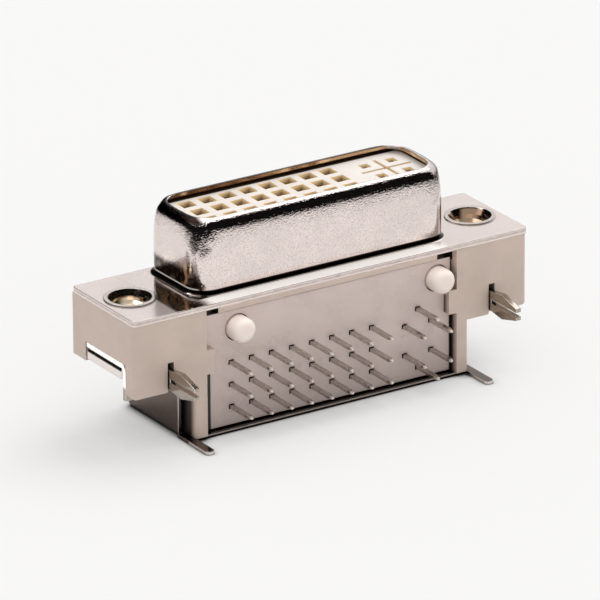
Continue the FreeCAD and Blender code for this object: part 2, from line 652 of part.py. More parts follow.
def build_outer_housing():
    """Moulding of two walls with wings for the jackscrews, tied by a bridge front and back."""
    body = new_body("outer_housing")
    front = "-housing_front"
    wing_back = "(wing_front_sheet - housing_front)"
    slab(body, "front_bridge", "z", "bridge_bottom", FLANGE_UNDER,
         lambda s: rectangle(s, "-wall_inner", "wall_inner", "-plate_front - bridge_proud",
                             f"{PLATE_BACK} - bridge_gap"))
    slab(body, "back_bridge", "z", "leg_bottom", FLANGE_UNDER,
         lambda s: rectangle(s, "-wall_inner", "wall_inner", BRIDGE_BACK, HOUSING_BACK))
    wall = slab(body, "wall", "z", "shield_sheet", FLANGE_UNDER,
                lambda s: rectangle(s, "wall_inner", "wall_outer", front, HOUSING_BACK))
    wing = slab(body, "wing", "x", "wall_outer", WING_END,
                lambda s: polygon(s, [(front, "wing_bottom"), (wing_back, "wing_bottom"),
                                      (wing_back, "notch_top"), ("notch_back", "notch_top"),
                                      ("notch_back", "leg_bottom"), (HOUSING_BACK, "leg_bottom"),
                                      (HOUSING_BACK, FLANGE_UNDER), (front, FLANGE_UNDER)]))
    tab = slab(body, "tab", "y", front, "-plate_front",
               lambda s: rectangle(s, "wall_inner - tab_reach", "wall_inner", "tab_bottom", "tab_top"))
    window = cut(body, "window", "y", front, PLATE_BACK,
                 lambda s: rectangle(s, "wall_inner - window_length", "wall_inner",
                                     "plate_top", "window_top"))
    half_slot = "(blade_sheet / 2 + blade_slot_gap)"
    slot = cut(body, "blade_slot", "y", front, wing_back,
               lambda s: rectangle(s, f"blade_centre - {half_slot}", f"blade_centre + {half_slot}",
                                   "wing_bottom", "blade_slot_top"))
    hole = cut(body, "insert_hole", "z", "notch_top", FLANGE_UNDER,
               lambda s: circle(s, "screw_half_spacing", "0", BARREL_HOLE))
    whole = mirror(body, [wall, wing, tab, window, slot, hole])
    upright = soften(body, "Fillet", whole,
                     lambda a, b, c: is_upright(a, b) and near(a.y, front) and near(abs(a.x), WING_END),
                     "wing_round")
    lower = soften(body, "Fillet", upright,
                   lambda a, b, c: (runs_along(a, b) and near(a.y, front) and near(a.z, "wing_bottom")
                                    and abs(c.x) > number("blade_centre")),
                   "wing_edge_round")
    columns = soften(body, "Fillet", lower,
                     lambda a, b, c: (is_upright(a, b) and near(a.y, front)
                                      and near(abs(a.x), "wall_outer")
                                      and c.z < number("wing_bottom")),
                     "column_round")
    soften(body, "Chamfer", columns,
           lambda a, b, c: (runs_along(a, b) and near(a.y, HOUSING_BACK) and near(a.z, "shield_sheet")),
           "shield_bend - shield_sheet")


# Rear shield

def build_rear_shield():
    """Folded cover over the tails, with ears under the wings and two legs for the board."""
    body = new_body("rear_shield")
    low_top = "(leg_bottom - shield_leg_gap)"
    above = f"({FLANGE_UNDER} + shield_sheet)"
    side_front = "-shield_side_front"
    box = slab(body, "cover", "z", "0", FLANGE_UNDER,
               lambda s: rectangle(s, f"-{SHIELD_OUTER}", SHIELD_OUTER, side_front, SHIELD_BACK))
    bent = soften(body, "Fillet", box,
                  lambda a, b, c: (runs_back(a, b) and near(a.z, "0")
                                   or runs_along(a, b) and near(a.z, "0") and near(a.y, SHIELD_BACK)
                                   or is_upright(a, b) and near(a.y, SHIELD_BACK)),
                  "shield_bend")
    inside = cut(body, "cover_inside", "z", "shield_sheet", above,
                 lambda s: rectangle(s, f"-{SHIELD_INNER}", SHIELD_INNER,
                                     f"{side_front} - shield_sheet", f"{SHIELD_BACK} - shield_sheet"))
    bends = soften(body, "Fillet", inside,
                   lambda a, b, c: (near(abs(a.x), SHIELD_INNER) and near(abs(b.x), SHIELD_INNER)
                                    and (runs_back(a, b) and near(a.z, "shield_sheet")
                                         or is_upright(a, b) and a.y > 0)
                                    or runs_along(a, b) and near(a.z, "shield_sheet") and a.y > 0),
                   "shield_bend - shield_sheet")
    trim = cut(body, "side_trim", "x", "wall_outer", f"{SHIELD_OUTER} + shield_sheet",
               lambda s: polygon(s, [(f"{side_front} - shield_sheet", EAR_TOP),
                                     ("ear_back + shield_leg_gap", EAR_TOP),
                                     ("ear_back + shield_leg_gap", low_top),
                                     (f"{SHIELD_BACK} + shield_sheet", low_top),
                                     (f"{SHIELD_BACK} + shield_sheet", above),
                                     (f"{side_front} - shield_sheet", above)]))
    ear = slab(body, "ear", "y", "-ear_front", "ear_back",
               lambda s: polygon(s, [(SHIELD_INNER, EAR_UNDER),
                                     (f"{WING_END} - shield_sheet", EAR_UNDER),
                                     (f"{WING_END} - shield_sheet", f"{EAR_UNDER} - ear_lip"),
                                     (WING_END, f"{EAR_UNDER} - ear_lip"),
                                     (WING_END, EAR_TOP), (SHIELD_INNER, EAR_TOP)]))
    hole = cut(body, "ear_hole", "z", EAR_UNDER, EAR_TOP,
               lambda s: circle(s, "screw_half_spacing", "0", BARREL_HOLE))
    leg = slab(body, "ground_leg", "z", "0", "shield_sheet",
               lambda s: rectangle(s, "ground_leg_outer - ground_leg_width", "ground_leg_outer",
                                   "-ground_leg_reach", side_front))
    flat_end = f"({SHIELD_OUTER} - shield_bend)"
    slab(body, "bottom_edge", "z", "0", "shield_sheet",
         lambda s: rectangle(s, f"-{flat_end}", flat_end, "-shield_bottom_front", side_front))
    whole = mirror(body, [trim, ear, hole, leg])
    tips = soften(body, "Fillet", whole,
                  lambda a, b, c: is_upright(a, b) and near(a.y, "-ground_leg_reach"),
                  "ground_leg_round")
    outer_bend = soften(body, "Fillet", tips,
                        lambda a, b, c: runs_back(a, b) and near(abs(a.x), WING_END)
                        and near(a.z, EAR_TOP), "shield_bend")
    soften(body, "Fillet", outer_bend,
           lambda a, b, c: runs_back(a, b) and near(abs(a.x), f"{WING_END} - shield_sheet")
           and near(a.z, EAR_UNDER), "shield_bend - shield_sheet")


# Threaded inserts

def build_insert(side, sign):
    """Turned insert with a countersunk thread, swaged over the flange to clamp the stack."""
    body = new_body(f"{side}_threaded_insert")
    bind(body, "Placement.Base.x", f"{sign} * screw_half_spacing")
    sketch = new_sketch(body, f"{side}_insert_profile", "y", "0")
    collar_top = "(flange_top + collar_height)"
    polygon(sketch, [("thread_radius", f"{EAR_UNDER} - shoulder_height"),
                     ("shoulder_radius", f"{EAR_UNDER} - shoulder_height"),
                     ("shoulder_radius", EAR_UNDER), ("barrel_radius", EAR_UNDER),
                     ("barrel_radius", "flange_top"), ("collar_radius", "flange_top"),
                     ("collar_radius", collar_top), ("mouth_radius", collar_top),
                     ("thread_radius", f"{collar_top} - mouth_depth")])
    turned = body.newObject("PartDesign::Revolution", f"{side}_insert_turned")
    turned.Profile = sketch
    turned.ReferenceAxis = (sketch, ["V_Axis"])
    turned.Angle = 360


# Boardlocks

def span(sign, inner, outer):
    """Low and high X of a stretch given from the middle outwards, on one side."""
    if sign > 0:
        return inner, outer
    return f"-({outer})", f"-({inner})"


def build_boardlock(side, sign):
    """Bracket clamped under a wing, bent down and then forward into a barbed fork."""
    body = new_body(f"{side}_boardlock")
    wing_back = "(wing_front_sheet - housing_front)"
    flap_back = f"({wing_back} + lock_sheet)"
    blade_inner = "(blade_centre - blade_sheet / 2)"
    low, high = span(sign, blade_inner, WING_END)
    bracket = slab(body, f"{side}_bracket", "x", low, high,
                   lambda s: polygon(s, [(wing_back, "lock_flap_bottom"),
                                         (flap_back, "lock_flap_bottom"), (flap_back, EAR_TOP),
                                         ("lock_plate_back", EAR_TOP), ("lock_plate_back", "notch_top"),
                                         (wing_back, "notch_top")]))
    inner = soften(body, "Fillet", bracket,
                   lambda a, b, c: runs_along(a, b) and near(c.y, flap_back) and near(c.z, EAR_TOP),
                   "lock_bend")
    soften(body, "Fillet", inner,
           lambda a, b, c: runs_along(a, b) and near(c.y, wing_back) and near(c.z, "notch_top"),
           "lock_bend + lock_sheet")
    plate_low, plate_high = span(sign, "lock_plate_inner", "screw_half_spacing")
    slab(body, f"{side}_lock_plate", "z", EAR_TOP, "notch_top",
         lambda s: rectangle(s, plate_low, plate_high, f"{flap_back} + lock_bend", "lock_plate_back"))
    cut(body, f"{side}_lock_hole", "z", EAR_TOP, "notch_top",
        lambda s: circle(s, f"{sign} * screw_half_spacing", "0", BARREL_HOLE))
    half = "blade_half_width"
    tip = "blade_tip_half_width"
    upper = [(flap_back, f"blade_height + {half}"), ("-blade_slit_end", f"blade_height + {half}"),
             ("-blade_shoulder", f"blade_height + {half} + blade_barb"),
             ("-blade_tip", f"blade_height + {tip}"), ("-blade_tip", "blade_height + blade_slit / 2"),
             ("-blade_slit_end", "blade_height + blade_slit / 2")]
    lower = [(y, z.replace("+", "-")) for y, z in reversed(upper)]
    blade_low, blade_high = span(sign, blade_inner, f"{blade_inner} + blade_sheet")
    slab(body, f"{side}_blade", "x", blade_low, blade_high, lambda s: polygon(s, upper + lower))


# Write the pieces

def check():
    """Stop if any object failed or any piece is not one valid solid."""
    for item in document.Objects:
        if {"Invalid", "Error"} & set(item.State):
            raise RuntimeError(f"{item.Name} failed: {item.State}")
    for item in document.Objects:
        if item.TypeId == "PartDesign::Body" and (item.Shape.isNull() or not item.Shape.isValid()):
            raise RuntimeError(f"{item.Label} is not a valid shape")


build_front_shell()
build_insulator()
for label, across, back, height in signal_places():
    build_contact(label, across, back, height, "signal_cavity")
for label, across, back, height in analog_places():
    build_contact(label, across, back, height, "analog_cavity")
build_cross_contact()
build_tail_plate()
build_outer_housing()
build_rear_shield()
for side, sign in (("left", -1), ("right", 1)):
    build_insert(side, sign)
    build_boardlock(side, sign)
document.recompute()
check()
os.makedirs("parts", exist_ok=True)
for item in document.Objects:
    if item.TypeId == "PartDesign::Body":
        item.Shape.exportStep(f"parts/{item.Label}.step")
        print(item.Label, len(item.Shape.Solids), round(item.Shape.Volume, 3), item.Shape.BoundBox)
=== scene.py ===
import math

import bmesh
import bpy
from bpy.props import FloatProperty, FloatVectorProperty, IntProperty, PointerProperty
from mathutils import Matrix, Vector


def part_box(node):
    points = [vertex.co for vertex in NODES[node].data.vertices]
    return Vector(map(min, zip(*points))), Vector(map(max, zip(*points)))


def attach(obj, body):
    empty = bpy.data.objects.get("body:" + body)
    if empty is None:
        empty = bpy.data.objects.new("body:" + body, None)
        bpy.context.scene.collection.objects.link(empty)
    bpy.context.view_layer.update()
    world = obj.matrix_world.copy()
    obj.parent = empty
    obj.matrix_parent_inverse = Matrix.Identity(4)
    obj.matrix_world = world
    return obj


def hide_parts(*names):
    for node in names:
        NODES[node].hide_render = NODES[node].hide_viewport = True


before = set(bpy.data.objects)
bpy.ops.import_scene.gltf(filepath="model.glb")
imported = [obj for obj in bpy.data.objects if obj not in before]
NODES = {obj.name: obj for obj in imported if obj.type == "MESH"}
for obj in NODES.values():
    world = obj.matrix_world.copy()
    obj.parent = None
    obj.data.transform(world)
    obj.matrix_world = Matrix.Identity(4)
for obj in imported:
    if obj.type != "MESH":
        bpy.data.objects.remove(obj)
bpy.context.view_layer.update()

bl_info = {
    "name": "Board Receptacle",
    "version": (1, 0, 0),
    "blender": (4, 5, 0),
    "location": "3D View > Sidebar > Receptacle",
    "description": "Finishes and fine pieces of a right-angle video receptacle for a circuit board",
    "category": "Object",
}

MM = 0.001
SIDES = ("left", "right")

# Levels in millimetres, from the frame: the inserts' swaged collars stand a little above the flange
COLLAR_HEIGHT = 0.11
FLANGE_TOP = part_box("left_threaded_insert")[1][2] / MM - COLLAR_HEIGHT
FACE_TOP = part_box("insulator")[1][2] / MM

# Plan of the plug shell in millimetres
SHELL_CENTRE = (0.18, 0.75)
SHELL_HALF = (12.1, 3.85)
SHELL_LEFT, SHELL_RIGHT = SHELL_CENTRE[0] - SHELL_HALF[0], SHELL_CENTRE[0] + SHELL_HALF[0]
SHELL_FRONT, SHELL_BACK = SHELL_CENTRE[1] - SHELL_HALF[1], SHELL_CENTRE[1] + SHELL_HALF[1]

# Grid of the signal cavities, and the level up to which the insulator is its carrier, in millimetres
CAVITY_PITCH = 1.905
LEFT_COLUMN = -9.15
BACK_ROW = 2.655
RIGHT_COLUMN_END = 5.0
MOUTH_HALF = 0.64
CARRIER_TOP = 11.0

# Where the shell is cut so that its rim can bend, in millimetres from its ends and below its top
END_CUTS = (1.75, 2.1, 2.5, 2.9, 3.4, 4.0, 4.8)
SIDE_CUTS = END_CUTS[:5]
RIM_CUTS = (0.8, 0.9, 1.0, 1.1, 1.3, 1.6, 1.9, 2.3, 2.7, 3.3)
CLEAR_OF_FLANGE = 0.2
FRONT_RUN_IN = 2 * MM
WALL_TOLERANCE = 0.03 * MM

# Axes of the inserts' bores in millimetres, and the way across a bore in plan in which its painted glow
# fades
JACKSCREW_X = 16.2
LIT_ACROSS, LIT_BACK = 0.842, 0.539

# Fit of the thread in the bores
THREAD_COVER = 0.02 * MM
THREAD_MOUTH = 0.5 * MM
HALF_ROOT_SHARE = 0.46
MERGE = 0.001 * MM

# Colours of the marks on the finishes, many of them painted light, painted shade and painted reflections
# Painted highlight along the sharp edges of plated metal
EDGE_HIGHLIGHT = (1.0, 0.93, 0.88)
# Painted shade and painted dark reflection: black laid into recesses and onto the shell's dark bands
PAINTED_SHADE_BLACK = (0.02, 0.012, 0.01)
WHITE = (1.0, 1.0, 1.0)
FLANGE_SATIN = (0.91, 0.81, 0.77)
TORN_EDGE = (0.42, 0.35, 0.31)
# Painted highlight, with a faint painted glow, on the flange's front strip
STRIP_HIGHLIGHT = (1.0, 0.97, 0.94)
# Bronze of the opening's walls: painted shade at the left, painted light at the right, and painted glints
BRONZE_SHADED, BRONZE_LIT, BRONZE_GLINT = (0.2, 0.1, 0.045), (0.66, 0.42, 0.25), (0.95, 0.68, 0.42)
# Colours of the shell's painted glow: brown painted glints and pale painted highlights
GLINT_BROWN, HIGHLIGHT_PALE = (0.62, 0.36, 0.2), (1.0, 0.95, 0.92)
# Painted shade in the insulator's cavities: tan near the mouth, dark brown deep down
CAVITY_TAN, CAVITY_DEEP_SHADE = (0.8, 0.6, 0.33), (0.07, 0.03, 0.01)
# Painted warm shade: the insulator below its carrier top is a warmer, darker copy of its white
CARRIER_WARM_SHADE = (0.92, 0.83, 0.77)
# Painted shade in the narrow gap where the insulator's face meets the shell's rim
RIM_GAP_SHADE = (0.05, 0.025, 0.012)
TIP_WHITE = (1.0, 0.93, 0.84)
# Cut faces and ears of the shield: lighter as bare cut metal and as painted light; and a painted shadow
# along the foot of its front
SHEARED_NICKEL_LIT, SHADOW_UNDER_EDGE = (0.85, 0.78, 0.74), (0.03, 0.02, 0.018)
# Painted highlight, with a faint painted glow, on the boardlocks' outer ends
CLAMP_HIGHLIGHT = (1.0, 0.98, 0.95)
# Bores of the inserts: the left one in painted light, the right one in painted shade
LEFT_BORE_LIT, RIGHT_BORE_SHADED = (0.6, 0.5, 0.38), (0.36, 0.25, 0.17)
FAR_FLOOR = (0.01, 0.01, 0.01)

# Distances from the middle of the floor between which its reflection fades, in millimetres
FLOOR_FADE = (55.0, 85.0)


# Settings that a user would change

class StageSettings(bpy.types.PropertyGroup):
    """Camera, floor and studio light."""

    azimuth: FloatProperty(name="Azimuth", description="Turn of the view to the right of the Y axis",
                           default=math.radians(32.398), subtype="ANGLE", unit="ROTATION")
    elevation: FloatProperty(name="Elevation",
                             description="Height of the camera above the part, as an angle",
                             default=math.radians(21.88), subtype="ANGLE", unit="ROTATION")
    roll: FloatProperty(name="Roll", description="Turn of the camera about its own line of sight",
                        default=math.radians(-0.412), subtype="ANGLE", unit="ROTATION")
    distance: FloatProperty(name="Distance", description="From the camera to the aim point along the view",
                            default=640.48 * MM, unit="LENGTH")
    aim_right: FloatProperty(name="Aim to the right",
                             description="Aim point to the right of the frame's middle",
                             default=0.144 * MM, unit="LENGTH")
    aim_up: FloatProperty(name="Aim up", description="Aim point above the frame's middle",
                          default=4.382 * MM, unit="LENGTH")
    aim_height: FloatProperty(name="Aim height", description="Height of the aim point above the floor",
                              default=12.55 * MM, unit="LENGTH")
    lens: FloatProperty(name="Lens", description="Focal length in millimetres",
                        default=478.6, unit="CAMERA")
    sensor: FloatProperty(name="Sensor", description="Width of the sensor in millimetres",
                          default=36.0, unit="CAMERA")
    floor_size: FloatProperty(name="Floor size", description="Side of the square floor",
                              default=3.0, unit="LENGTH")
    floor_colour: FloatVectorProperty(name="Floor colour", description="Colour of the floor",
                                      default=(0.925, 0.945, 0.955), subtype="COLOR", size=3)
    softbox: FloatProperty(name="Softbox", description="Brightness of the overhead light in reflections",
                           default=3.2)
    backdrop: FloatProperty(name="Backdrop", description="Brightness of the lit backdrop in reflections",
                            default=1.0)
    backdrop_turn: FloatProperty(name="Backdrop turn", description="Turn of the backdrop's left edge",
                                 default=math.radians(24.0), subtype="ANGLE", unit="ROTATION")
    room: FloatProperty(name="Room", description="Brightness of the unlit side in reflections",
                        default=0.004)
    fill: FloatProperty(name="Fill", description="Even light that falls on the part from all round",
                        default=0.70)
    fill_colour: FloatVectorProperty(name="Fill colour", description="Colour of the even light",
                                     default=(1.0, 0.95, 0.925), subtype="COLOR", size=3)
    key: FloatProperty(name="Key", description="Strength of the soft key light", default=1.25)
    key_spread: FloatProperty(name="Key spread", description="How wide the key light is, as an angle",
                              default=math.radians(50.0), subtype="ANGLE", unit="ROTATION")
    key_direction: FloatVectorProperty(name="Key direction", description="Way in which the key light shines",
                                       default=(-0.75, -0.15, -1.0), subtype="DIRECTION", size=3)
    sky: FloatProperty(name="Sky", description="Brightness of the plain background in the picture",
                       default=0.965)
    floor_glow: FloatProperty(name="Floor glow",
                              description="Share of the floor's colour that keeps clear of shadow",
                              default=0.45, min=0.0, max=1.0)


class FinishSettings(bpy.types.PropertyGroup):
    """Colours of the plating and the mouldings."""

    shell: FloatVectorProperty(name="Shell", description="Bright nickel on the drawn shell",
                               default=(0.87, 0.775, 0.74), subtype="COLOR", size=3)
    shield: FloatVectorProperty(name="Shield", description="Dull nickel on the folded shield",
                                default=(0.165, 0.13, 0.115), subtype="COLOR", size=3)
    turned: FloatVectorProperty(name="Inserts", description="Nickel on the turned inserts",
                                default=(0.80, 0.72, 0.66), subtype="COLOR", size=3)
    lock: FloatVectorProperty(name="Boardlocks", description="Tin on the boardlocks",
                              default=(0.47, 0.425, 0.365), subtype="COLOR", size=3)
    tin: FloatVectorProperty(name="Tails", description="Tin on the solder tails",
                             default=(0.60, 0.565, 0.53), subtype="COLOR", size=3)
    gold: FloatVectorProperty(name="Forks", description="Gold on the contact forks",
                              default=(0.90, 0.60, 0.24), subtype="COLOR", size=3)
    white: FloatVectorProperty(name="Insulator", description="White moulding of the insulator",
                               default=(0.93, 0.89, 0.84), subtype="COLOR", size=3)
    beige: FloatVectorProperty(name="Housing", description="Warm moulding of the housing",
                               default=(0.66, 0.545, 0.47), subtype="COLOR", size=3)
    plate: FloatVectorProperty(name="Tail plate", description="Grey moulding of the tail plate",
                               default=(0.72, 0.61, 0.575), subtype="COLOR", size=3)


class ThreadSettings(bpy.types.PropertyGroup):
    """Thread of the two inserts."""

    bore: FloatProperty(name="Bore", description="Radius of the inserts' bores",
                        default=1.42 * MM, unit="LENGTH")
    pitch: FloatProperty(name="Pitch", description="Rise of one turn of the thread",
                         default=0.635 * MM, unit="LENGTH")
    depth: FloatProperty(name="Depth", description="How far the thread stands into the bore",
                         default=0.3 * MM, unit="LENGTH")
    crest: FloatProperty(name="Crest", description="Width of the flat crest",
                         default=0.09 * MM, unit="LENGTH")
    steps: IntProperty(name="Steps", description="Segments in one turn", default=48, min=12)


class RimSettings(bpy.types.PropertyGroup):
    """How the press draws the plug shell's rim in."""

    centre: FloatVectorProperty(name="Centre", description="Middle of the plug shell in plan",
                                default=[size * MM for size in SHELL_CENTRE],
                                subtype="XYZ", unit="LENGTH", size=2)
    half_size: FloatVectorProperty(name="Half size", description="Half of the plug shell's length and depth",
                                   default=[size * MM for size in SHELL_HALF],
                                   subtype="XYZ", unit="LENGTH", size=2)
    round_edge: FloatProperty(name="Edge radius", description="Radius of the rim as the solid has it",
                              default=0.75 * MM, unit="LENGTH")
    front_edge: FloatProperty(name="Front edge radius",
                              description="Height of the fuller rounding along the front",
                              default=1.1 * MM, unit="LENGTH")
    pull: FloatProperty(name="Corner pull", description="How far the rim's corners are drawn in at the top",
                        default=1.1 * MM, unit="LENGTH")
    height: FloatProperty(name="Corner height", description="Depth below the rim at which the corners start",
                          default=3.3 * MM, unit="LENGTH")
    spread: FloatProperty(name="Corner spread", description="Reach of a corner's pull in plan",
                          default=1.1 * MM, unit="LENGTH")


class ReceptacleSettings(bpy.types.PropertyGroup):
    """All settings of the receptacle's scene."""

    stage: PointerProperty(type=StageSettings, name="Stage", description="Camera, floor and light")
    finish: PointerProperty(type=FinishSettings, name="Finish", description="Colours")
    thread: PointerProperty(type=ThreadSettings, name="Thread", description="Thread of the inserts")
    rim: PointerProperty(type=RimSettings, name="Rim", description="Rim of the plug shell")


# Words for node trees

def add_node(tree, kind, inputs=None, **settings):
    """A shader node with its settings and unlinked values."""
    node = tree.nodes.new(kind)
    for name, value in settings.items():
        setattr(node, name, value)
    for name, value in (inputs or {}).items():
        node.inputs[name].default_value = value
    return node


def start_material(name):
    """A fresh material with one Principled shader: the material, its tree and the shader."""
    material = bpy.data.materials.new(name)
    material.use_nodes = True
    tree = material.node_tree
    tree.nodes.clear()
    output = add_node(tree, "ShaderNodeOutputMaterial")
    shader = add_node(tree, "ShaderNodeBsdfPrincipled")
    tree.links.new(shader.outputs["BSDF"], output.inputs["Surface"])
    return material, tree, shader


def feed(tree, socket, value):
    """Give an input a link, a number or a colour."""
    if isinstance(value, bpy.types.NodeSocket):
        tree.links.new(value, socket)
    elif isinstance(value, (int, float)):
        socket.default_value = value
    else:
        socket.default_value = (*value, 1.0)


def place(tree, stretch=(1.0, 1.0, 1.0)):
    """Object coordinates in millimetres, stretched along each axis."""
    coordinate = add_node(tree, "ShaderNodeTexCoord")
    mapping = add_node(tree, "ShaderNodeMapping",
                       {"Scale": tuple(factor / MM for factor in stretch)})
    tree.links.new(coordinate.outputs["Object"], mapping.inputs["Vector"])
    return mapping.outputs["Vector"]


def noise(tree, where, scale, detail=2.0, roughness=0.5):
    """A noise pattern with features about 1/scale millimetres across."""
    pattern = add_node(tree, "ShaderNodeTexNoise",
                       {"Scale": scale, "Detail": detail, "Roughness": roughness})
    tree.links.new(where, pattern.inputs["Vector"])
    return pattern.outputs["Fac"]


def remap(tree, value, low, high, out_low, out_high):
    """A value carried smoothly from one range to another and held beyond its ends."""
    ramp = add_node(tree, "ShaderNodeMapRange",
                    {"From Min": low, "From Max": high, "To Min": out_low, "To Max": out_high},
                    interpolation_type="SMOOTHSTEP")
    tree.links.new(value, ramp.inputs["Value"])
    return ramp.outputs["Result"]


def rise(tree, value, low, high):
    """One above a range of a value and nought below it."""
    return remap(tree, value, low, high, 0.0, 1.0)


def fall(tree, value, low, high):
    """One below a range of a value and nought above it."""
    return remap(tree, value, low, high, 1.0, 0.0)


def combine(tree, operation, first, second):
    """Two values, each a socket or a number, put together by a Math operation."""
    node = add_node(tree, "ShaderNodeMath", operation=operation)
    for socket, value in zip(node.inputs, (first, second)):
        feed(tree, socket, value)
    return node.outputs["Value"]


def scaled(tree, value, factor):
    """A value multiplied by a number or another value."""
    return combine(tree, "MULTIPLY", value, factor)


def unsigned(tree, value):
    """A value without its sign."""
    return combine(tree, "ABSOLUTE", value, 0.0)


def without(tree, mask):
    """One where a mask is nought."""
    return combine(tree, "SUBTRACT", 1.0, mask)


def both(tree, *masks):
    """One where all the masks are."""
    total = masks[0]
    for mask in masks[1:]:
        total = combine(tree, "MULTIPLY", total, mask)
    return total


def either(tree, *masks):
    """The greatest of several masks or values."""
    total = masks[0]
    for mask in masks[1:]:
        total = combine(tree, "MAXIMUM", total, mask)
    return total


def band(tree, value, low, high, soft):
    """One while a value lies between two levels, with soft ends."""
    return both(tree, rise(tree, value, low - soft, low), fall(tree, value, high, high + soft))


def blend_colours(tree, factor, first, second, how="MIX"):
    """Two colours, each a socket or a tuple, blended by a factor."""
    node = add_node(tree, "ShaderNodeMix", data_type="RGBA", blend_type=how)
    feed(tree, node.inputs["Factor"], factor)
    colours = [socket for socket in node.inputs if socket.type == "RGBA"]
    for socket, value in zip(colours, (first, second)):
        feed(tree, socket, value)
    return next(socket for socket in node.outputs if socket.type == "RGBA")


def paint(tree, surface, *layers):
    """A colour under layers, each a mask and the colour that it lays on."""
    for mask, colour in layers:
        surface = blend_colours(tree, mask, surface, colour)
    return surface


def source_of(shader, name):
    """What feeds one of a finished shader's inputs."""
    return shader.inputs[name].links[0].from_socket


def shader_of(material):
    """A finished material's tree, its shader and what gives the shader its colour."""
    tree = material.node_tree
    shader = next(node for node in tree.nodes if node.type == "BSDF_PRINCIPLED")
    return tree, shader, source_of(shader, "Base Color")


def split_axes(tree, vector):
    """The three parts of a vector."""
    split = add_node(tree, "ShaderNodeSeparateXYZ")
    tree.links.new(vector, split.inputs["Vector"])
    return tuple(split.outputs[axis] for axis in "XYZ")


def axes(tree):
    """Places across, back and up in the object, in millimetres."""
    return split_axes(tree, place(tree))


def off_centre(tree, value, centre, pitch):
    """How far a value lies from the nearest of a row of centres."""
    turns = combine(tree, "DIVIDE", combine(tree, "SUBTRACT", value, centre), pitch)
    part = combine(tree, "FRACT", combine(tree, "ADD", turns, 0.5), 0.0)
    return scaled(tree, combine(tree, "SUBTRACT", part, 0.5), pitch)


def facing(tree, axis, sign, low=0.6, high=0.8):
    """One on faces that look along one way of an axis."""
    geometry = add_node(tree, "ShaderNodeNewGeometry")
    normal = split_axes(tree, geometry.outputs["Normal"])
    return rise(tree, scaled(tree, normal["XYZ".index(axis)], sign), low, high)


def uprightness(tree):
    """One where the surface stands upright, nought where it lies flat."""
    geometry = add_node(tree, "ShaderNodeNewGeometry")
    normal = split_axes(tree, geometry.outputs["Normal"])
    return fall(tree, unsigned(tree, normal[2]), 0.3, 0.4)


def edge_mask(tree, radius):
    """One along sharp edges, where a softened normal leaves the true one."""
    geometry = add_node(tree, "ShaderNodeNewGeometry")
    bevel = add_node(tree, "ShaderNodeBevel", {"Radius": radius}, samples=6)
    dot = add_node(tree, "ShaderNodeVectorMath", operation="DOT_PRODUCT")
    tree.links.new(geometry.outputs["Normal"], dot.inputs[0])
    tree.links.new(bevel.outputs["Normal"], dot.inputs[1])
    return fall(tree, dot.outputs["Value"], 0.8, 0.97)


def contact_shade(tree, colour, reach, depth, closed=0.0, clear=0.75):
    """A colour with painted shade: it darkens where other surfaces come within a reach of it."""
    near = add_node(tree, "ShaderNodeAmbientOcclusion", {"Distance": reach}, samples=4)
    shade = remap(tree, near.outputs["AO"], closed, clear, depth, 1.0)
    return blend_colours(tree, 1.0, colour, shade, "MULTIPLY")


def surface_relief(tree, shader, height, distance, edge):
    """Bump of a height pattern over edges that are softened by a small radius."""
    bevel = add_node(tree, "ShaderNodeBevel", {"Radius": edge}, samples=6)
    bump = add_node(tree, "ShaderNodeBump", {"Distance": distance, "Strength": 1.0})
    tree.links.new(height, bump.inputs["Height"])
    tree.links.new(bevel.outputs["Normal"], bump.inputs["Normal"])
    tree.links.new(bump.outputs["Normal"], shader.inputs["Normal"])


def scale_relief(tree, factor):
    """Scale a finished material's bump by a mask."""
    bump = next(node for node in tree.nodes if node.type == "BUMP")
    tree.links.new(scaled(tree, source_of(bump, "Height"), factor), bump.inputs["Height"])


def roughen(tree, shader, mask, amount):
    """Make a finished material rougher where a mask is one."""
    rough = combine(tree, "ADD", source_of(shader, "Roughness"), scaled(tree, mask, amount))
    tree.links.new(rough, shader.inputs["Roughness"])


def light_up(tree, shader, colour, strength):
    """Let a shader give off a faint light of its own."""
    feed(tree, shader.inputs["Emission Color"], colour)
    feed(tree, shader.inputs["Emission Strength"], strength)


def shade_of(colour, factor):
    """A colour made darker or lighter."""
    return tuple(min(1.0, channel * factor) for channel in colour)


# Materials

def plated_metal(name, colour, roughness, grain, edge, stretch=(1.0, 1.0, 1.0), reach=0.4 * MM):
    """Nickel or tin over sheet: fine grain, faint clouds in its colour, soft edges with a painted highlight,
    and painted contact shade.
    """
    material, tree, shader = start_material(name)
    where = place(tree, stretch)
    clouds = noise(tree, where, 0.45, 3.0)
    fine = noise(tree, where, 8.0, 1.0, 0.5)
    speck = noise(tree, where, 13.0, 0.0)
    peel = noise(tree, where, 2.2, 2.0)
    cloudy = blend_colours(tree, rise(tree, clouds, 0.35, 0.65),
                           shade_of(colour, 0.95), shade_of(colour, 1.03))
    # Dark speckle of grain, and a painted highlight along the edges; painted contact shade follows
    specked_and_edge_lit = paint(tree, cloudy, (remap(tree, speck, 0.25, 0.6, 0.9, 0.0), shade_of(colour, 0.7)),
                 (edge_mask(tree, edge), EDGE_HIGHLIGHT))
    tree.links.new(contact_shade(tree, specked_and_edge_lit, reach, 0.15), shader.inputs["Base Color"])
    shader.inputs["Metallic"].default_value = 1.0
    tree.links.new(remap(tree, fine, 0.3, 0.7, roughness * 0.7, roughness * 1.4), shader.inputs["Roughness"])
    surface_relief(tree, shader, combine(tree, "ADD", fine, scaled(tree, peel, 0.1)), grain, edge)
    return material


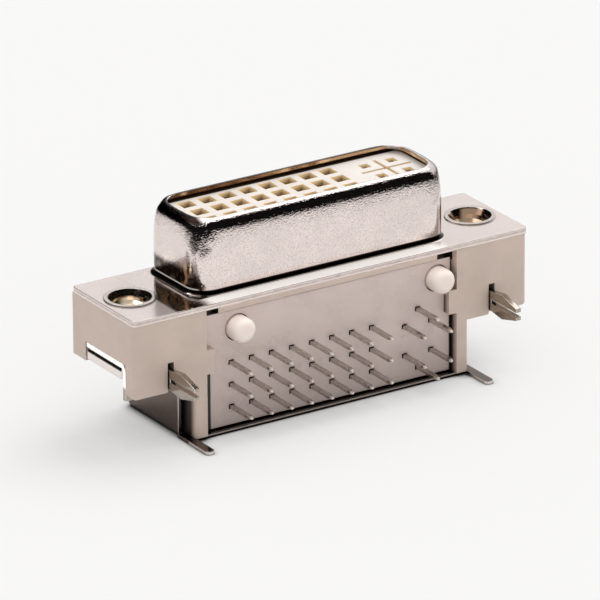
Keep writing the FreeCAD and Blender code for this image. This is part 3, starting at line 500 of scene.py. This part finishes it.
def moulded_plastic(name, colour, roughness, grain, edge, reach=1.2 * MM, depth=0.2):
    """Filled moulding: warm and cool clouds, fine texture, soft edges with a painted highlight, and painted
    contact shade.
    """
    material, tree, shader = start_material(name)
    where = place(tree)
    clouds = noise(tree, where, 0.3, 4.0, 0.6)
    speck = noise(tree, where, 14.0, 2.0, 0.6)
    cloudy = blend_colours(tree, rise(tree, clouds, 0.35, 0.65),
                           shade_of(colour, 0.96), shade_of(colour, 1.04))
    # Darker flecks of texture, and a painted highlight along the edges; painted contact shade follows
    flecked_and_edge_lit = paint(tree, cloudy, (remap(tree, speck, 0.62, 0.75, 0.0, 0.5), shade_of(colour, 0.9)),
                   (edge_mask(tree, edge), shade_of(colour, 1.5)))
    tree.links.new(contact_shade(tree, flecked_and_edge_lit, reach, depth), shader.inputs["Base Color"])
    tree.links.new(remap(tree, clouds, 0.3, 0.7, roughness * 0.85, roughness * 1.15),
                   shader.inputs["Roughness"])
    surface_relief(tree, shader, combine(tree, "ADD", speck, clouds), grain, edge)
    return material


def shell_marks(tree):
    """Masks of the marks on the drawn shell, by name: those of the press and the shears, and its painted
    shade, reflections, highlights and glints.
    """
    across, back, up = axes(tree)
    height = combine(tree, "SUBTRACT", up, FLANGE_TOP)
    upright = uprightness(tree)
    flange = fall(tree, height, 0.02, 0.12)
    left_end = fall(tree, across, SHELL_LEFT + 0.42, SHELL_LEFT + 0.72)
    streaks = noise(tree, place(tree, (2.0, 2.0, 30.0)), 1.0, 3.0, 0.7)
    folds = noise(tree, place(tree, (1.0, 1.0, 0.5)), 1.1, 2.0, 0.6)
    glint_noise = noise(tree, place(tree), 9.0, 1.0)
    # Painted shade: a black line down the plug shell's right front corner
    right_corner_shade = both(tree, rise(tree, across, SHELL_RIGHT - 0.93, SHELL_RIGHT - 0.68),
                        fall(tree, back, SHELL_FRONT + 1.0, SHELL_FRONT + 1.2),
                        band(tree, height, 0.3, 3.4, 0.2))
    # Painted dark reflection on the rim's left and back lips
    left_lip_reflection = both(tree, band(tree, across, SHELL_LEFT + 0.02, SHELL_LEFT + 0.92, 0.6),
                    rise(tree, height, 5.6, 5.9))
    back_lip_reflection = both(tree, rise(tree, back, SHELL_BACK - 0.9, SHELL_BACK - 0.84),
                    rise(tree, height, 5.9, 6.1))
    # Painted dark reflection: a patch low on the left end, broken up by the folds noise
    dark_reflection_patch = both(tree, left_end, rise(tree, height, 0.1, 0.2), fall(tree, height, 1.5, 2.1),
                remap(tree, folds, 0.3, 0.52, 0.35, 0.95))
    # Painted highlights: a pale line along the root of the left end, and one on the flange beside it
    crease_highlight = both(tree, left_end, band(tree, height, 0.42, 0.48, 0.06))
    kerb_highlight = both(tree, flange, band(tree, across, SHELL_LEFT - 0.56, SHELL_LEFT - 0.5, 0.08),
                band(tree, back, SHELL_FRONT + 1.1, SHELL_FRONT + 3.5, 1.0))
    # Painted glints: brown streaks on the left end wall and brown speckle on the flange beside it
    lit_folds = both(tree, fall(tree, across, SHELL_LEFT + 0.62, SHELL_LEFT + 0.82),
                     band(tree, height, 0.7, 2.2, 0.4), fall(tree, back, SHELL_BACK - 2.6, SHELL_BACK - 0.6),
                     remap(tree, folds, 0.5, 0.68, 0.0, 0.3))
    glinting_specks = both(tree, flange, band(tree, across, SHELL_LEFT - 2.48, SHELL_LEFT - 0.48, 0.2),
                  remap(tree, glint_noise, 0.5, 0.75, 0.0, 0.22))
    return {
        "flange": flange,
        # Front strip of the flange, which carries a painted highlight
        "strip": both(tree, flange, without(tree, upright),
                      fall(tree, back, SHELL_FRONT - 0.4, SHELL_FRONT - 0.2),
                      rise(tree, across, SHELL_LEFT - 0.48, SHELL_LEFT + 0.92),
                      fall(tree, across, SHELL_RIGHT - 2.38, SHELL_RIGHT - 0.68)),
        "torn_and_shadowed": both(tree, upright, fall(tree, height, 0.0, 0.02), band(tree, height, -0.3, -0.16, 0.06),
                     remap(tree, streaks, 0.35, 0.6, 0.2, 0.8)),
        # Painted dark reflection: a black band along the root fillet at the front
        "root": both(tree, band(tree, height, 0.05, 0.4, 0.03),
                     fall(tree, back, SHELL_FRONT + 0.9, SHELL_FRONT + 1.3)),
        # Painted shade and painted dark reflection, laid on in black
        "dark": either(tree, right_corner_shade, left_lip_reflection, scaled(tree, back_lip_reflection, 0.9), dark_reflection_patch),
        "pierced": both(tree, upright, rise(tree, height, 5.5, 5.7)),
        # Painted light on the opening's walls, growing from left to right
        "to_right": rise(tree, across, -10.0, 11.0),
        # Pale painted highlights by the left end
        "pale": either(tree, crease_highlight, scaled(tree, kerb_highlight, 0.7)),
        # Brown painted glints by the left end
        "brown": either(tree, lit_folds, glinting_specks),
        "beside": band(tree, across, SHELL_LEFT - 2.38, SHELL_LEFT + 0.72, 0.7),
        "relief": remap(tree, height, 3.6, 5.2, 0.3, 1.0),
    }


def shell_nickel(colour):
    """Bright drawn nickel: satin flange, a cut edge with a rough fracture band, painted dark reflection and
    shade at the root, lips and corners, bronze opening with painted shade and light, painted highlight on
    the front strip, painted glints and highlights by the left end.
    """
    material = plated_metal("drawn_nickel", colour, 0.09, 0.035 * MM, 0.14 * MM, reach=0.2 * MM)
    tree, shader, surface = shader_of(material)
    marks = shell_marks(tree)
    # Bronze walls of the opening: painted shade turning to painted light from left to right, with painted
    # glints
    glints = noise(tree, place(tree, (0.55, 1.0, 1.0)), 1.0, 0.0)
    bronze = paint(tree, blend_colours(tree, marks["to_right"], BRONZE_SHADED, BRONZE_LIT),
                   (remap(tree, glints, 0.55, 0.7, 0.0, 0.8), BRONZE_GLINT))
    painted = paint(tree, surface, (scaled(tree, marks["flange"], 0.6), FLANGE_SATIN),
                    (marks["torn_and_shadowed"], TORN_EDGE), (marks["root"], PAINTED_SHADE_BLACK), (marks["dark"], PAINTED_SHADE_BLACK),
                    (marks["pierced"], bronze), (marks["strip"], STRIP_HIGHLIGHT))
    tree.links.new(painted, shader.inputs["Base Color"])
    # Painted glow: the front strip's highlight, pale painted highlights by the left end's root, and brown
    # painted glints beside it
    pale = either(tree, marks["strip"], marks["pale"])
    glow = either(tree, scaled(tree, marks["strip"], 0.32), marks["brown"], scaled(tree, marks["pale"], 0.4))
    light_up(tree, shader, blend_colours(tree, pale, GLINT_BROWN, HIGHLIGHT_PALE), glow)
    satin = both(tree, marks["flange"], remap(tree, marks["beside"], 0.0, 1.0, 0.5, 0.0))
    dulled = either(tree, scaled(tree, marks["strip"], 0.85), satin)
    tree.links.new(without(tree, dulled), shader.inputs["Metallic"])
    roughen(tree, shader, marks["strip"], 0.35)
    scale_relief(tree, marks["relief"])
    return material


def cavity_shade(tree, surface):
    """Insides of the insulator's cavities, as a mask, and its colour: painted shade in them that turns tan
    and then brown with depth, painted shade in the rim gap, and a warm painted shade below the carrier top.
    """
    across, back, up = axes(tree)
    shallow = fall(tree, up, FACE_TOP - 0.07, FACE_TOP - 0.01)
    deep = fall(tree, up, FACE_TOP - 0.6, FACE_TOP - 0.05)
    above_carrier = rise(tree, up, CARRIER_TOP, CARRIER_TOP + 0.2)
    column = off_centre(tree, across, LEFT_COLUMN, CAVITY_PITCH)
    row = off_centre(tree, back, BACK_ROW, CAVITY_PITCH)
    mouths = both(tree, fall(tree, unsigned(tree, column), MOUTH_HALF, MOUTH_HALF + 0.03),
                  fall(tree, unsigned(tree, row), MOUTH_HALF, MOUTH_HALF + 0.03),
                  fall(tree, across, RIGHT_COLUMN_END, RIGHT_COLUMN_END + 0.1))
    # Painted shade grows towards the right of each mouth
    fold_shade = both(tree, mouths, remap(tree, column, -0.5, 0.55, 0.0, 0.75),
                remap(tree, up, FACE_TOP - 0.3, FACE_TOP, 1.0, 0.3))
    # Walls that face left get less painted shade
    lit_wall = both(tree, facing(tree, "X", -1.0), mouths)
    depth = both(tree, either(tree, deep, fold_shade), remap(tree, lit_wall, 0.0, 1.0, 1.0, 0.55))
    inside = both(tree, either(tree, shallow, scaled(tree, mouths, 0.9)), above_carrier)
    # Painted shade along the back and right edges of the face, under the rim
    rim_gap = both(tree, either(tree, rise(tree, back, SHELL_BACK - 0.98, SHELL_BACK - 0.92),
                                rise(tree, across, SHELL_RIGHT - 0.73, SHELL_RIGHT - 0.63)), above_carrier)
    # Warm painted shade below the carrier top, then painted shade in the cavities and in the rim gap
    colour = paint(tree, blend_colours(tree, above_carrier, CARRIER_WARM_SHADE, surface),
                   (inside, blend_colours(tree, depth, CAVITY_TAN, CAVITY_DEEP_SHADE)), (rim_gap, RIM_GAP_SHADE))
    return inside, colour


def give(names, material):
    """Dress CAD nodes in a material through their objects' slots."""
    for name in names:
        node = NODES[name]
        if not node.material_slots:
            node.data.materials.append(material)
        for slot in node.material_slots:
            slot.material = material


# Modelling

def deselect_all():
    """Leave edit mode and select nothing."""
    if bpy.context.object and bpy.context.object.mode != "OBJECT":
        bpy.ops.object.mode_set(mode="OBJECT")
    bpy.ops.object.select_all(action="DESELECT")


def finish_piece(piece, material):
    """Put a new piece's place into its mesh, dress it, and let it ride on the connector."""
    deselect_all()
    bpy.context.view_layer.objects.active = piece
    piece.select_set(True)
    bpy.ops.object.transform_apply(location=True, rotation=True, scale=True)
    piece.data.materials.clear()
    piece.data.materials.append(material)
    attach(piece, "root")


def cut_across(piece, above, axis, level):
    """Bisect the faces above a level by a plane square to an axis."""
    mesh = bmesh.from_edit_mesh(piece.data)
    bpy.ops.mesh.select_all(action="DESELECT")
    for face in mesh.faces:
        face.select = all(corner.co.z > above for corner in face.verts)
    mesh.select_flush_mode()
    bmesh.update_edit_mesh(piece.data)
    normal = Vector((0.0, 0.0, 0.0))
    normal[axis] = 1.0
    bpy.ops.mesh.bisect(plane_co=normal * level, plane_no=normal)


def arc_inset(radius, drop):
    """How far a rounded edge of a radius stands in at a drop below its top."""
    rest = max(0.0, radius - max(0.0, drop))
    return radius - math.sqrt(radius * radius - rest * rest)


def drawn_in(point, top, rim):
    """Where a point of the plug shell goes when the press draws the rim in."""
    drop = top - point.z
    if drop > rim.height:
        return point
    off = Vector((point.x - rim.centre[0], point.y - rim.centre[1]))
    gap_x = rim.half_size[0] - abs(off.x)
    gap_y = rim.half_size[1] - abs(off.y)
    near = math.exp(-(gap_x * gap_x + gap_y * gap_y) / (2 * rim.spread * rim.spread))
    pull = rim.pull * near * arc_inset(1.0, drop / rim.height) / math.sqrt(2)
    moved = point - Vector((math.copysign(pull, off.x), math.copysign(pull, off.y), 0.0))
    standing = arc_inset(rim.round_edge, drop)
    if off.y < 0 and abs(gap_y - standing) < WALL_TOLERANCE:
        away = min(1.0, max(0.0, (gap_x - rim.round_edge) / FRONT_RUN_IN))
        fuller = arc_inset(rim.front_edge, drop) * rim.round_edge / rim.front_edge
        moved.y += away * (fuller - standing)
    return moved


def draw_rim(rim):
    """A copy of the front shell whose rim is drawn in, most at its corners."""
    source = NODES["front_shell"]
    piece = bpy.data.objects.new("drawn_front_shell", source.data.copy())
    bpy.context.scene.collection.objects.link(piece)
    deselect_all()
    bpy.context.view_layer.objects.active = piece
    piece.select_set(True)
    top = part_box("front_shell")[1][2]
    above = (FLANGE_TOP + CLEAR_OF_FLANGE) * MM
    bpy.ops.object.mode_set(mode="EDIT")
    bpy.ops.mesh.select_all(action="SELECT")
    bpy.ops.mesh.remove_doubles(threshold=MERGE)
    bpy.ops.mesh.dissolve_limited(angle_limit=math.radians(0.2))
    for inset in END_CUTS:
        for sign in (-1, 1):
            cut_across(piece, above, 0, rim.centre[0] + sign * (rim.half_size[0] - inset * MM))
            if inset in SIDE_CUTS:
                cut_across(piece, above, 1, rim.centre[1] + sign * (rim.half_size[1] - inset * MM))
    for drop in RIM_CUTS:
        cut_across(piece, above, 2, top - drop * MM)
    bpy.ops.mesh.select_all(action="SELECT")
    bpy.ops.mesh.normals_make_consistent(inside=False)
    bpy.ops.object.mode_set(mode="OBJECT")
    for corner in piece.data.vertices:
        corner.co = drawn_in(corner.co, top, rim)
    bpy.ops.object.shade_smooth_by_angle(angle=math.radians(32.0))
    weighted = piece.modifiers.new("Flat faces lead", "WEIGHTED_NORMAL")
    weighted.keep_sharp = True
    bpy.ops.object.modifier_apply(modifier=weighted.name)
    return piece


def build_thread(side, thread, material):
    """Cut a thread's look: a trapezoid ridge wound up an insert's bore."""
    low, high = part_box(f"{side}_threaded_insert")
    middle = (low + high) / 2
    root = thread.bore + THREAD_COVER
    crest = thread.bore - thread.depth
    turns = int((high[2] - low[2] - THREAD_MOUTH) / thread.pitch)
    deselect_all()
    bpy.ops.mesh.primitive_plane_add(size=1.0, location=(0.0, 0.0, 0.0))
    piece = bpy.context.object
    piece.name = f"{side}_insert_thread"
    half_root = thread.pitch * HALF_ROOT_SHARE
    for corner in piece.data.vertices:
        inner = corner.co.x < 0
        half = thread.crest / 2 if inner else half_root
        corner.co = Vector((crest if inner else root, 0.0, math.copysign(half, corner.co.y)))
    bpy.ops.object.mode_set(mode="EDIT")
    bpy.ops.mesh.select_all(action="SELECT")
    bpy.ops.mesh.delete(type="ONLY_FACE")
    bpy.ops.object.mode_set(mode="OBJECT")
    screw = piece.modifiers.new("Wind", "SCREW")
    screw.axis = "Z"
    screw.angle = math.tau
    screw.screw_offset = thread.pitch
    screw.iterations = turns
    screw.steps = thread.steps
    screw.render_steps = thread.steps
    bpy.ops.object.modifier_apply(modifier=screw.name)
    bpy.ops.object.mode_set(mode="EDIT")
    bpy.ops.mesh.select_all(action="SELECT")
    bpy.ops.mesh.remove_doubles(threshold=MERGE)
    bpy.ops.mesh.fill_holes(sides=4)
    bpy.ops.mesh.normals_make_consistent(inside=False)
    bpy.ops.object.mode_set(mode="OBJECT")
    bpy.ops.object.shade_smooth_by_angle(angle=math.radians(35.0))
    piece.location = (middle[0], middle[1], low[2] + half_root)
    finish_piece(piece, material)


# Operators, one for each piece or group of like pieces

class FinishFrontShell(bpy.types.Operator):
    """Bright drawn nickel on the flange and plug shell"""

    bl_idname = "receptacle.front_shell"
    bl_label = "Front shell"

    def execute(self, context):
        material = shell_nickel(context.scene.receptacle.finish.shell)
        give(["front_shell"], material)
        piece = draw_rim(context.scene.receptacle.rim)
        finish_piece(piece, material)
        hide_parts("front_shell")
        return {"FINISHED"}


class FinishInsulator(bpy.types.Operator):
    """White moulding with painted shade in its cavities, tan and then brown with depth, and a painted glow
    """

    bl_idname = "receptacle.insulator"
    bl_label = "Insulator"

    def execute(self, context):
        colour = context.scene.receptacle.finish.white
        material = moulded_plastic("white_moulding", colour, 0.42, 0.0015 * MM, 0.05 * MM,
                                   reach=0.3 * MM, depth=0.75)
        tree, shader, surface = shader_of(material)
        inside, shade = cavity_shade(tree, surface)
        tree.links.new(shade, shader.inputs["Base Color"])
        _, back, up = axes(tree)
        # Painted glow in the cavities near their mouths, and a painted highlight on the upper side of each
        # peg
        glow = both(tree, inside, remap(tree, up, FACE_TOP - 0.5, FACE_TOP - 0.02, 0.0, 0.28))
        lit_peg_tops = both(tree, fall(tree, back, -4.0, -3.9), facing(tree, "Z", 1.0, -0.3, 0.9))
        light_up(tree, shader, shade, either(tree, glow, scaled(tree, lit_peg_tops, 0.3)))
        give(["insulator"], material)
        return {"FINISHED"}


class FinishContacts(bpy.types.Operator):
    """Tin on the solder tails and gold on the forks"""

    bl_idname = "receptacle.contacts"
    bl_label = "Contacts"

    def execute(self, context):
        colours = context.scene.receptacle.finish
        material = plated_metal("contact_plating", colours.tin, 0.2, 0.0008 * MM, 0.04 * MM,
                                stretch=(1.0, 0.15, 1.0))
        tree, shader, surface = shader_of(material)
        _, back, up = axes(tree)
        gilded = rise(tree, up, 9.4, 9.8)
        tip = fall(tree, back, -6.8, -6.6)
        painted = paint(tree, surface, (gilded, colours.gold), (tip, TIP_WHITE))
        tree.links.new(painted, shader.inputs["Base Color"])
        roughen(tree, shader, tip, 0.3)
        give([name for name in NODES if "contact" in name], material)
        return {"FINISHED"}


class FinishHousing(bpy.types.Operator):
    """Warm filled moulding of the outer housing, with painted shade beside the tail plate and in the opening
    above it
    """

    bl_idname = "receptacle.outer_housing"
    bl_label = "Outer housing"

    def execute(self, context):
        colours = context.scene.receptacle.finish
        material = moulded_plastic("beige_moulding", colours.beige, 0.45, 0.002 * MM, 0.11 * MM,
                                   reach=1.0 * MM, depth=0.25)
        tree, shader, surface = shader_of(material)
        across, back, up = axes(tree)
        from_middle = unsigned(tree, across)
        # Painted shade: black on the faces beside the tail plate and inside the top opening
        recess = both(tree, facing(tree, "X", -1.0), fall(tree, from_middle, 14.0, 14.4),
                      fall(tree, up, 7.0, 7.4), rise(tree, back, -4.55, -3.7))
        inner = both(tree, fall(tree, from_middle, 13.2, 13.3), band(tree, back, -3.9, 4.0, 0.05),
                     rise(tree, up, 9.95, 10.05))
        painted = paint(tree, surface, (either(tree, recess, inner), PAINTED_SHADE_BLACK))
        tree.links.new(painted, shader.inputs["Base Color"])
        give(["outer_housing"], material)
        return {"FINISHED"}


class FinishTailPlate(bpy.types.Operator):
    """Smooth grey moulding of the tail plate, with painted shade at its sides, on its top and towards its
    foot
    """

    bl_idname = "receptacle.tail_plate"
    bl_label = "Tail plate"

    def execute(self, context):
        colours = context.scene.receptacle.finish
        material = moulded_plastic("grey_moulding", colours.plate, 0.3, 0.001 * MM, 0.05 * MM,
                                   reach=0.12 * MM, depth=0.5)
        tree, shader, surface = shader_of(material)
        across, _, up = axes(tree)
        low, high = (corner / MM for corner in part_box("tail_plate"))
        # Painted shade: black in the recess at each side below the tabs, and on the top face
        sides = either(tree, fall(tree, across, low[0] + 0.62, low[0] + 0.7),
                       rise(tree, across, high[0] - 0.2, high[0] - 0.1))
        shaded_gaps = either(tree, both(tree, sides, fall(tree, up, 5.9, 6.1)), facing(tree, "Z", 1.0))
        # Painted shade: the plate turns darker towards its foot
        lit = rise(tree, up, low[2], low[2] + 5.0)
        shaded = blend_colours(tree, lit, shade_of(colours.plate, 0.78), surface)
        tree.links.new(paint(tree, shaded, (shaded_gaps, PAINTED_SHADE_BLACK)), shader.inputs["Base Color"])
        give(["tail_plate"], material)
        return {"FINISHED"}


class FinishRearShield(bpy.types.Operator):
    """Dull nickel on the folded shield, lighter on its cut faces and ears, partly as bare cut metal and
    partly as painted light, with a painted shadow along its front foot
    """

    bl_idname = "receptacle.rear_shield"
    bl_label = "Rear shield"

    def execute(self, context):
        colours = context.scene.receptacle.finish
        material = plated_metal("folded_nickel", colours.shield, 0.14, 0.006 * MM, 0.12 * MM)
        tree, shader, surface = shader_of(material)
        across, back, up = axes(tree)
        front = facing(tree, "Y", -1.0)
        legs = both(tree, fall(tree, back, -4.7, -4.5), facing(tree, "X", -1.0))
        ears = rise(tree, unsigned(tree, across), 13.8, 14.0)
        # Painted shadow on the lower part of the bottom wall's front edge
        torn_and_shadowed = both(tree, front, fall(tree, up, 0.16, 0.24), rise(tree, back, -4.7, -4.6))
        # Cut faces, legs and ears lighter: partly bare cut metal, partly painted light
        sheared_and_lit = either(tree, front, legs, ears)
        painted = paint(tree, surface, (sheared_and_lit, SHEARED_NICKEL_LIT), (torn_and_shadowed, SHADOW_UNDER_EDGE))
        tree.links.new(painted, shader.inputs["Base Color"])
        give(["rear_shield"], material)
        return {"FINISHED"}


class FinishBoardlocks(bpy.types.Operator):
    """Tin on the boardlocks, with a painted highlight and glow on their outer ends"""

    bl_idname = "receptacle.boardlocks"
    bl_label = "Boardlocks"

    def execute(self, context):
        colours = context.scene.receptacle.finish
        material = plated_metal("lock_tin", colours.lock, 0.16, 0.003 * MM, 0.1 * MM, reach=0.6 * MM)
        tree, shader, surface = shader_of(material)
        across, _, up = axes(tree)
        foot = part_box("left_boardlock")[0][2] / MM
        # Painted highlight and glow on the outer end of each boardlock
        clamp = both(tree, rise(tree, unsigned(tree, across), 16.9, 17.1),
                     rise(tree, up, foot + 0.9, foot + 1.3))
        tree.links.new(paint(tree, surface, (clamp, CLAMP_HIGHLIGHT)), shader.inputs["Base Color"])
        light_up(tree, shader, CLAMP_HIGHLIGHT, scaled(tree, clamp, 0.2))
        give([f"{side}_boardlock" for side in SIDES], material)
        return {"FINISHED"}


class FinishInserts(bpy.types.Operator):
    """Turned nickel on the inserts, with their threads, and painted light, shade and glow in their bores"""

    bl_idname = "receptacle.inserts"
    bl_label = "Threaded inserts"

    def execute(self, context):
        settings = context.scene.receptacle
        material = plated_metal("turned_nickel", settings.finish.turned, 0.14, 0.001 * MM, 0.04 * MM)
        tree, shader, surface = shader_of(material)
        across, back, up = axes(tree)
        inside = fall(tree, up, FLANGE_TOP - 0.02, FLANGE_TOP + 0.04)
        low = fall(tree, up, FLANGE_TOP - 0.6, FLANGE_TOP - 0.4)
        to_right = rise(tree, across, -1.0, 1.0)
        # Painted light in the left bore and painted shade in the right one
        bronze = blend_colours(tree, to_right, LEFT_BORE_LIT, RIGHT_BORE_SHADED)
        tree.links.new(paint(tree, surface, (inside, bronze)), shader.inputs["Base Color"])
        # Painted glow in a band across each bore, deep in the left one and all down the right one
        off = off_centre(tree, across, JACKSCREW_X, 2 * JACKSCREW_X)
        sideways = combine(tree, "SUBTRACT", scaled(tree, off, LIT_ACROSS), scaled(tree, back, LIT_BACK))
        lit = both(tree, inside, band(tree, sideways, -0.45, 0.45, 0.45), either(tree, low, to_right))
        light_up(tree, shader, bronze, scaled(tree, lit, 0.75))
        give([f"{side}_threaded_insert" for side in SIDES], material)
        for side in SIDES:
            build_thread(side, settings.thread, material)
        return {"FINISHED"}


# Stage

def reflected_light(tree, stage):
    """Brightness in reflections: softbox overhead, lit backdrop behind to the right, dark room."""
    direction = add_node(tree, "ShaderNodeTexCoord")
    across, back, up = split_axes(tree, direction.outputs["Generated"])
    overhead = both(tree, rise(tree, up, 0.72, 0.78), rise(tree, back, -0.06, 0.0))
    turned = combine(tree, "SUBTRACT", scaled(tree, across, math.cos(stage.backdrop_turn)),
                     scaled(tree, back, math.sin(stage.backdrop_turn)))
    backdrop = both(tree, rise(tree, turned, -0.05, 0.07), rise(tree, back, -0.1, 0.12))
    rising = remap(tree, up, 0.42, 0.72, stage.backdrop, stage.softbox)
    return either(tree, both(tree, backdrop, rising), scaled(tree, overhead, stage.softbox), stage.room)


def build_world(stage):
    """Plain background in the picture, the studio in reflections, and even fill for the rest."""
    world = bpy.data.worlds.new("studio")
    world.use_nodes = True
    tree = world.node_tree
    tree.nodes.clear()
    output = add_node(tree, "ShaderNodeOutputWorld")
    mirrored = add_node(tree, "ShaderNodeBackground")
    seen = add_node(tree, "ShaderNodeBackground", {"Color": (*WHITE, 1.0), "Strength": stage.sky})
    even = add_node(tree, "ShaderNodeBackground",
                    {"Color": (*stage.fill_colour, 1.0), "Strength": stage.fill})
    tree.links.new(reflected_light(tree, stage), mirrored.inputs["Strength"])
    rays = add_node(tree, "ShaderNodeLightPath")
    shown = even
    for ray, other in (("Is Glossy Ray", mirrored), ("Is Camera Ray", seen)):
        choose = add_node(tree, "ShaderNodeMixShader")
        tree.links.new(rays.outputs[ray], choose.inputs["Fac"])
        tree.links.new(shown.outputs[0], choose.inputs[1])
        tree.links.new(other.outputs[0], choose.inputs[2])
        shown = choose
    tree.links.new(shown.outputs[0], output.inputs["Surface"])
    bpy.context.scene.world = world


def build_key(stage):
    """Soft key light from behind the part's right side, which reflections don't show."""
    data = bpy.data.lights.new("key", "SUN")
    data.energy = stage.key
    data.angle = stage.key_spread
    key = bpy.data.objects.new("key", data)
    bpy.context.scene.collection.objects.link(key)
    key.rotation_mode = "QUATERNION"
    key.rotation_quaternion = Vector(stage.key_direction).to_track_quat("-Z", "Y")
    key.visible_glossy = False


def floor_material(stage):
    """Pale floor that keeps the part's shadow, with painted contact shade near the part, and that
    reflections lose in the dark further out.
    """
    material, tree, shader = start_material("pale_floor")
    tint = blend_colours(tree, noise(tree, place(tree), 0.02), shade_of(stage.floor_colour, 0.995),
                         stage.floor_colour)
    rays = add_node(tree, "ShaderNodeLightPath")
    radius = add_node(tree, "ShaderNodeVectorMath", operation="LENGTH")
    tree.links.new(place(tree), radius.inputs[0])
    far = both(tree, rays.outputs["Is Glossy Ray"], rise(tree, radius.outputs["Value"], *FLOOR_FADE))
    # Painted contact shade on the floor near the part, in its colour and its glow
    close = contact_shade(tree, WHITE, 1.0 * MM, 0.05, 0.45, 0.85)
    shade = contact_shade(tree, close, 7.0 * MM, 0.8)
    shaded = blend_colours(tree, 1.0, tint, shade, "MULTIPLY")
    tree.links.new(paint(tree, shaded, (far, FAR_FLOOR)), shader.inputs["Base Color"])
    shader.inputs["Roughness"].default_value = 0.9
    shader.inputs["Specular IOR Level"].default_value = 0.0
    glow = add_node(tree, "ShaderNodeEmission", {"Strength": stage.sky})
    tree.links.new(shade, glow.inputs["Color"])
    choose = add_node(tree, "ShaderNodeMixShader")
    tree.links.new(scaled(tree, rays.outputs["Is Camera Ray"], stage.floor_glow), choose.inputs["Fac"])
    tree.links.new(shader.outputs["BSDF"], choose.inputs[1])
    tree.links.new(glow.outputs["Emission"], choose.inputs[2])
    output = next(node for node in tree.nodes if node.type == "OUTPUT_MATERIAL")
    tree.links.new(choose.outputs["Shader"], output.inputs["Surface"])
    return material


def build_floor(stage):
    """Plain pale floor under the part."""
    deselect_all()
    bpy.ops.mesh.primitive_plane_add(size=stage.floor_size, location=(0.0, 0.0, 0.0))
    floor = bpy.context.object
    floor.name = "floor"
    floor.data.materials.append(floor_material(stage))


def build_camera(stage):
    """Camera at the photograph's view."""
    along = Vector((math.sin(stage.azimuth) * math.cos(stage.elevation),
                    math.cos(stage.azimuth) * math.cos(stage.elevation),
                    -math.sin(stage.elevation)))
    level_right = along.cross(Vector((0.0, 0.0, 1.0))).normalized()
    level_up = level_right.cross(along)
    right = level_right * math.cos(stage.roll) + level_up * math.sin(stage.roll)
    up = level_up * math.cos(stage.roll) - level_right * math.sin(stage.roll)
    aim = Vector((0.0, 0.0, stage.aim_height))
    position = aim - right * stage.aim_right - up * stage.aim_up - along * stage.distance
    data = bpy.data.cameras.new("camera")
    data.lens = stage.lens
    data.sensor_width = stage.sensor
    data.sensor_fit = "HORIZONTAL"
    data.clip_start = 0.01
    data.clip_end = 10.0
    camera = bpy.data.objects.new("camera", data)
    bpy.context.scene.collection.objects.link(camera)
    turn = Matrix((right, up, -along)).transposed()
    camera.matrix_world = Matrix.Translation(position) @ turn.to_4x4()
    bpy.context.scene.camera = camera


class BuildStage(bpy.types.Operator):
    """Floor, studio light and camera"""

    bl_idname = "receptacle.stage"
    bl_label = "Stage"

    def execute(self, context):
        stage = context.scene.receptacle.stage
        build_floor(stage)
        build_world(stage)
        build_key(stage)
        build_camera(stage)
        context.scene.view_settings.view_transform = "Standard"
        return {"FINISHED"}


class ReceptaclePanel(bpy.types.Panel):
    """The receptacle's steps in the sidebar"""

    bl_idname = "VIEW3D_PT_receptacle"
    bl_label = "Receptacle"
    bl_space_type = "VIEW_3D"
    bl_region_type = "UI"
    bl_category = "Receptacle"

    def draw(self, context):
        for step in STEPS:
            self.layout.operator(step.bl_idname)


STEPS = (FinishFrontShell, FinishInsulator, FinishContacts, FinishHousing, FinishTailPlate,
         FinishRearShield, FinishBoardlocks, FinishInserts, BuildStage)
CLASSES = (StageSettings, FinishSettings, ThreadSettings, RimSettings, ReceptacleSettings, *STEPS,
           ReceptaclePanel)


def register():
    """Register the classes and hang the settings on the scene."""
    for item in CLASSES:
        bpy.utils.register_class(item)
    bpy.types.Scene.receptacle = PointerProperty(type=ReceptacleSettings)


def unregister():
    """Take the settings and classes away again."""
    del bpy.types.Scene.receptacle
    for item in reversed(CLASSES):
        bpy.utils.unregister_class(item)


def main():
    """Run every step in order."""
    register()
    for step in STEPS:
        group, name = step.bl_idname.split(".")
        getattr(getattr(bpy.ops, group), name)()


if __name__ == "__main__":
    main()
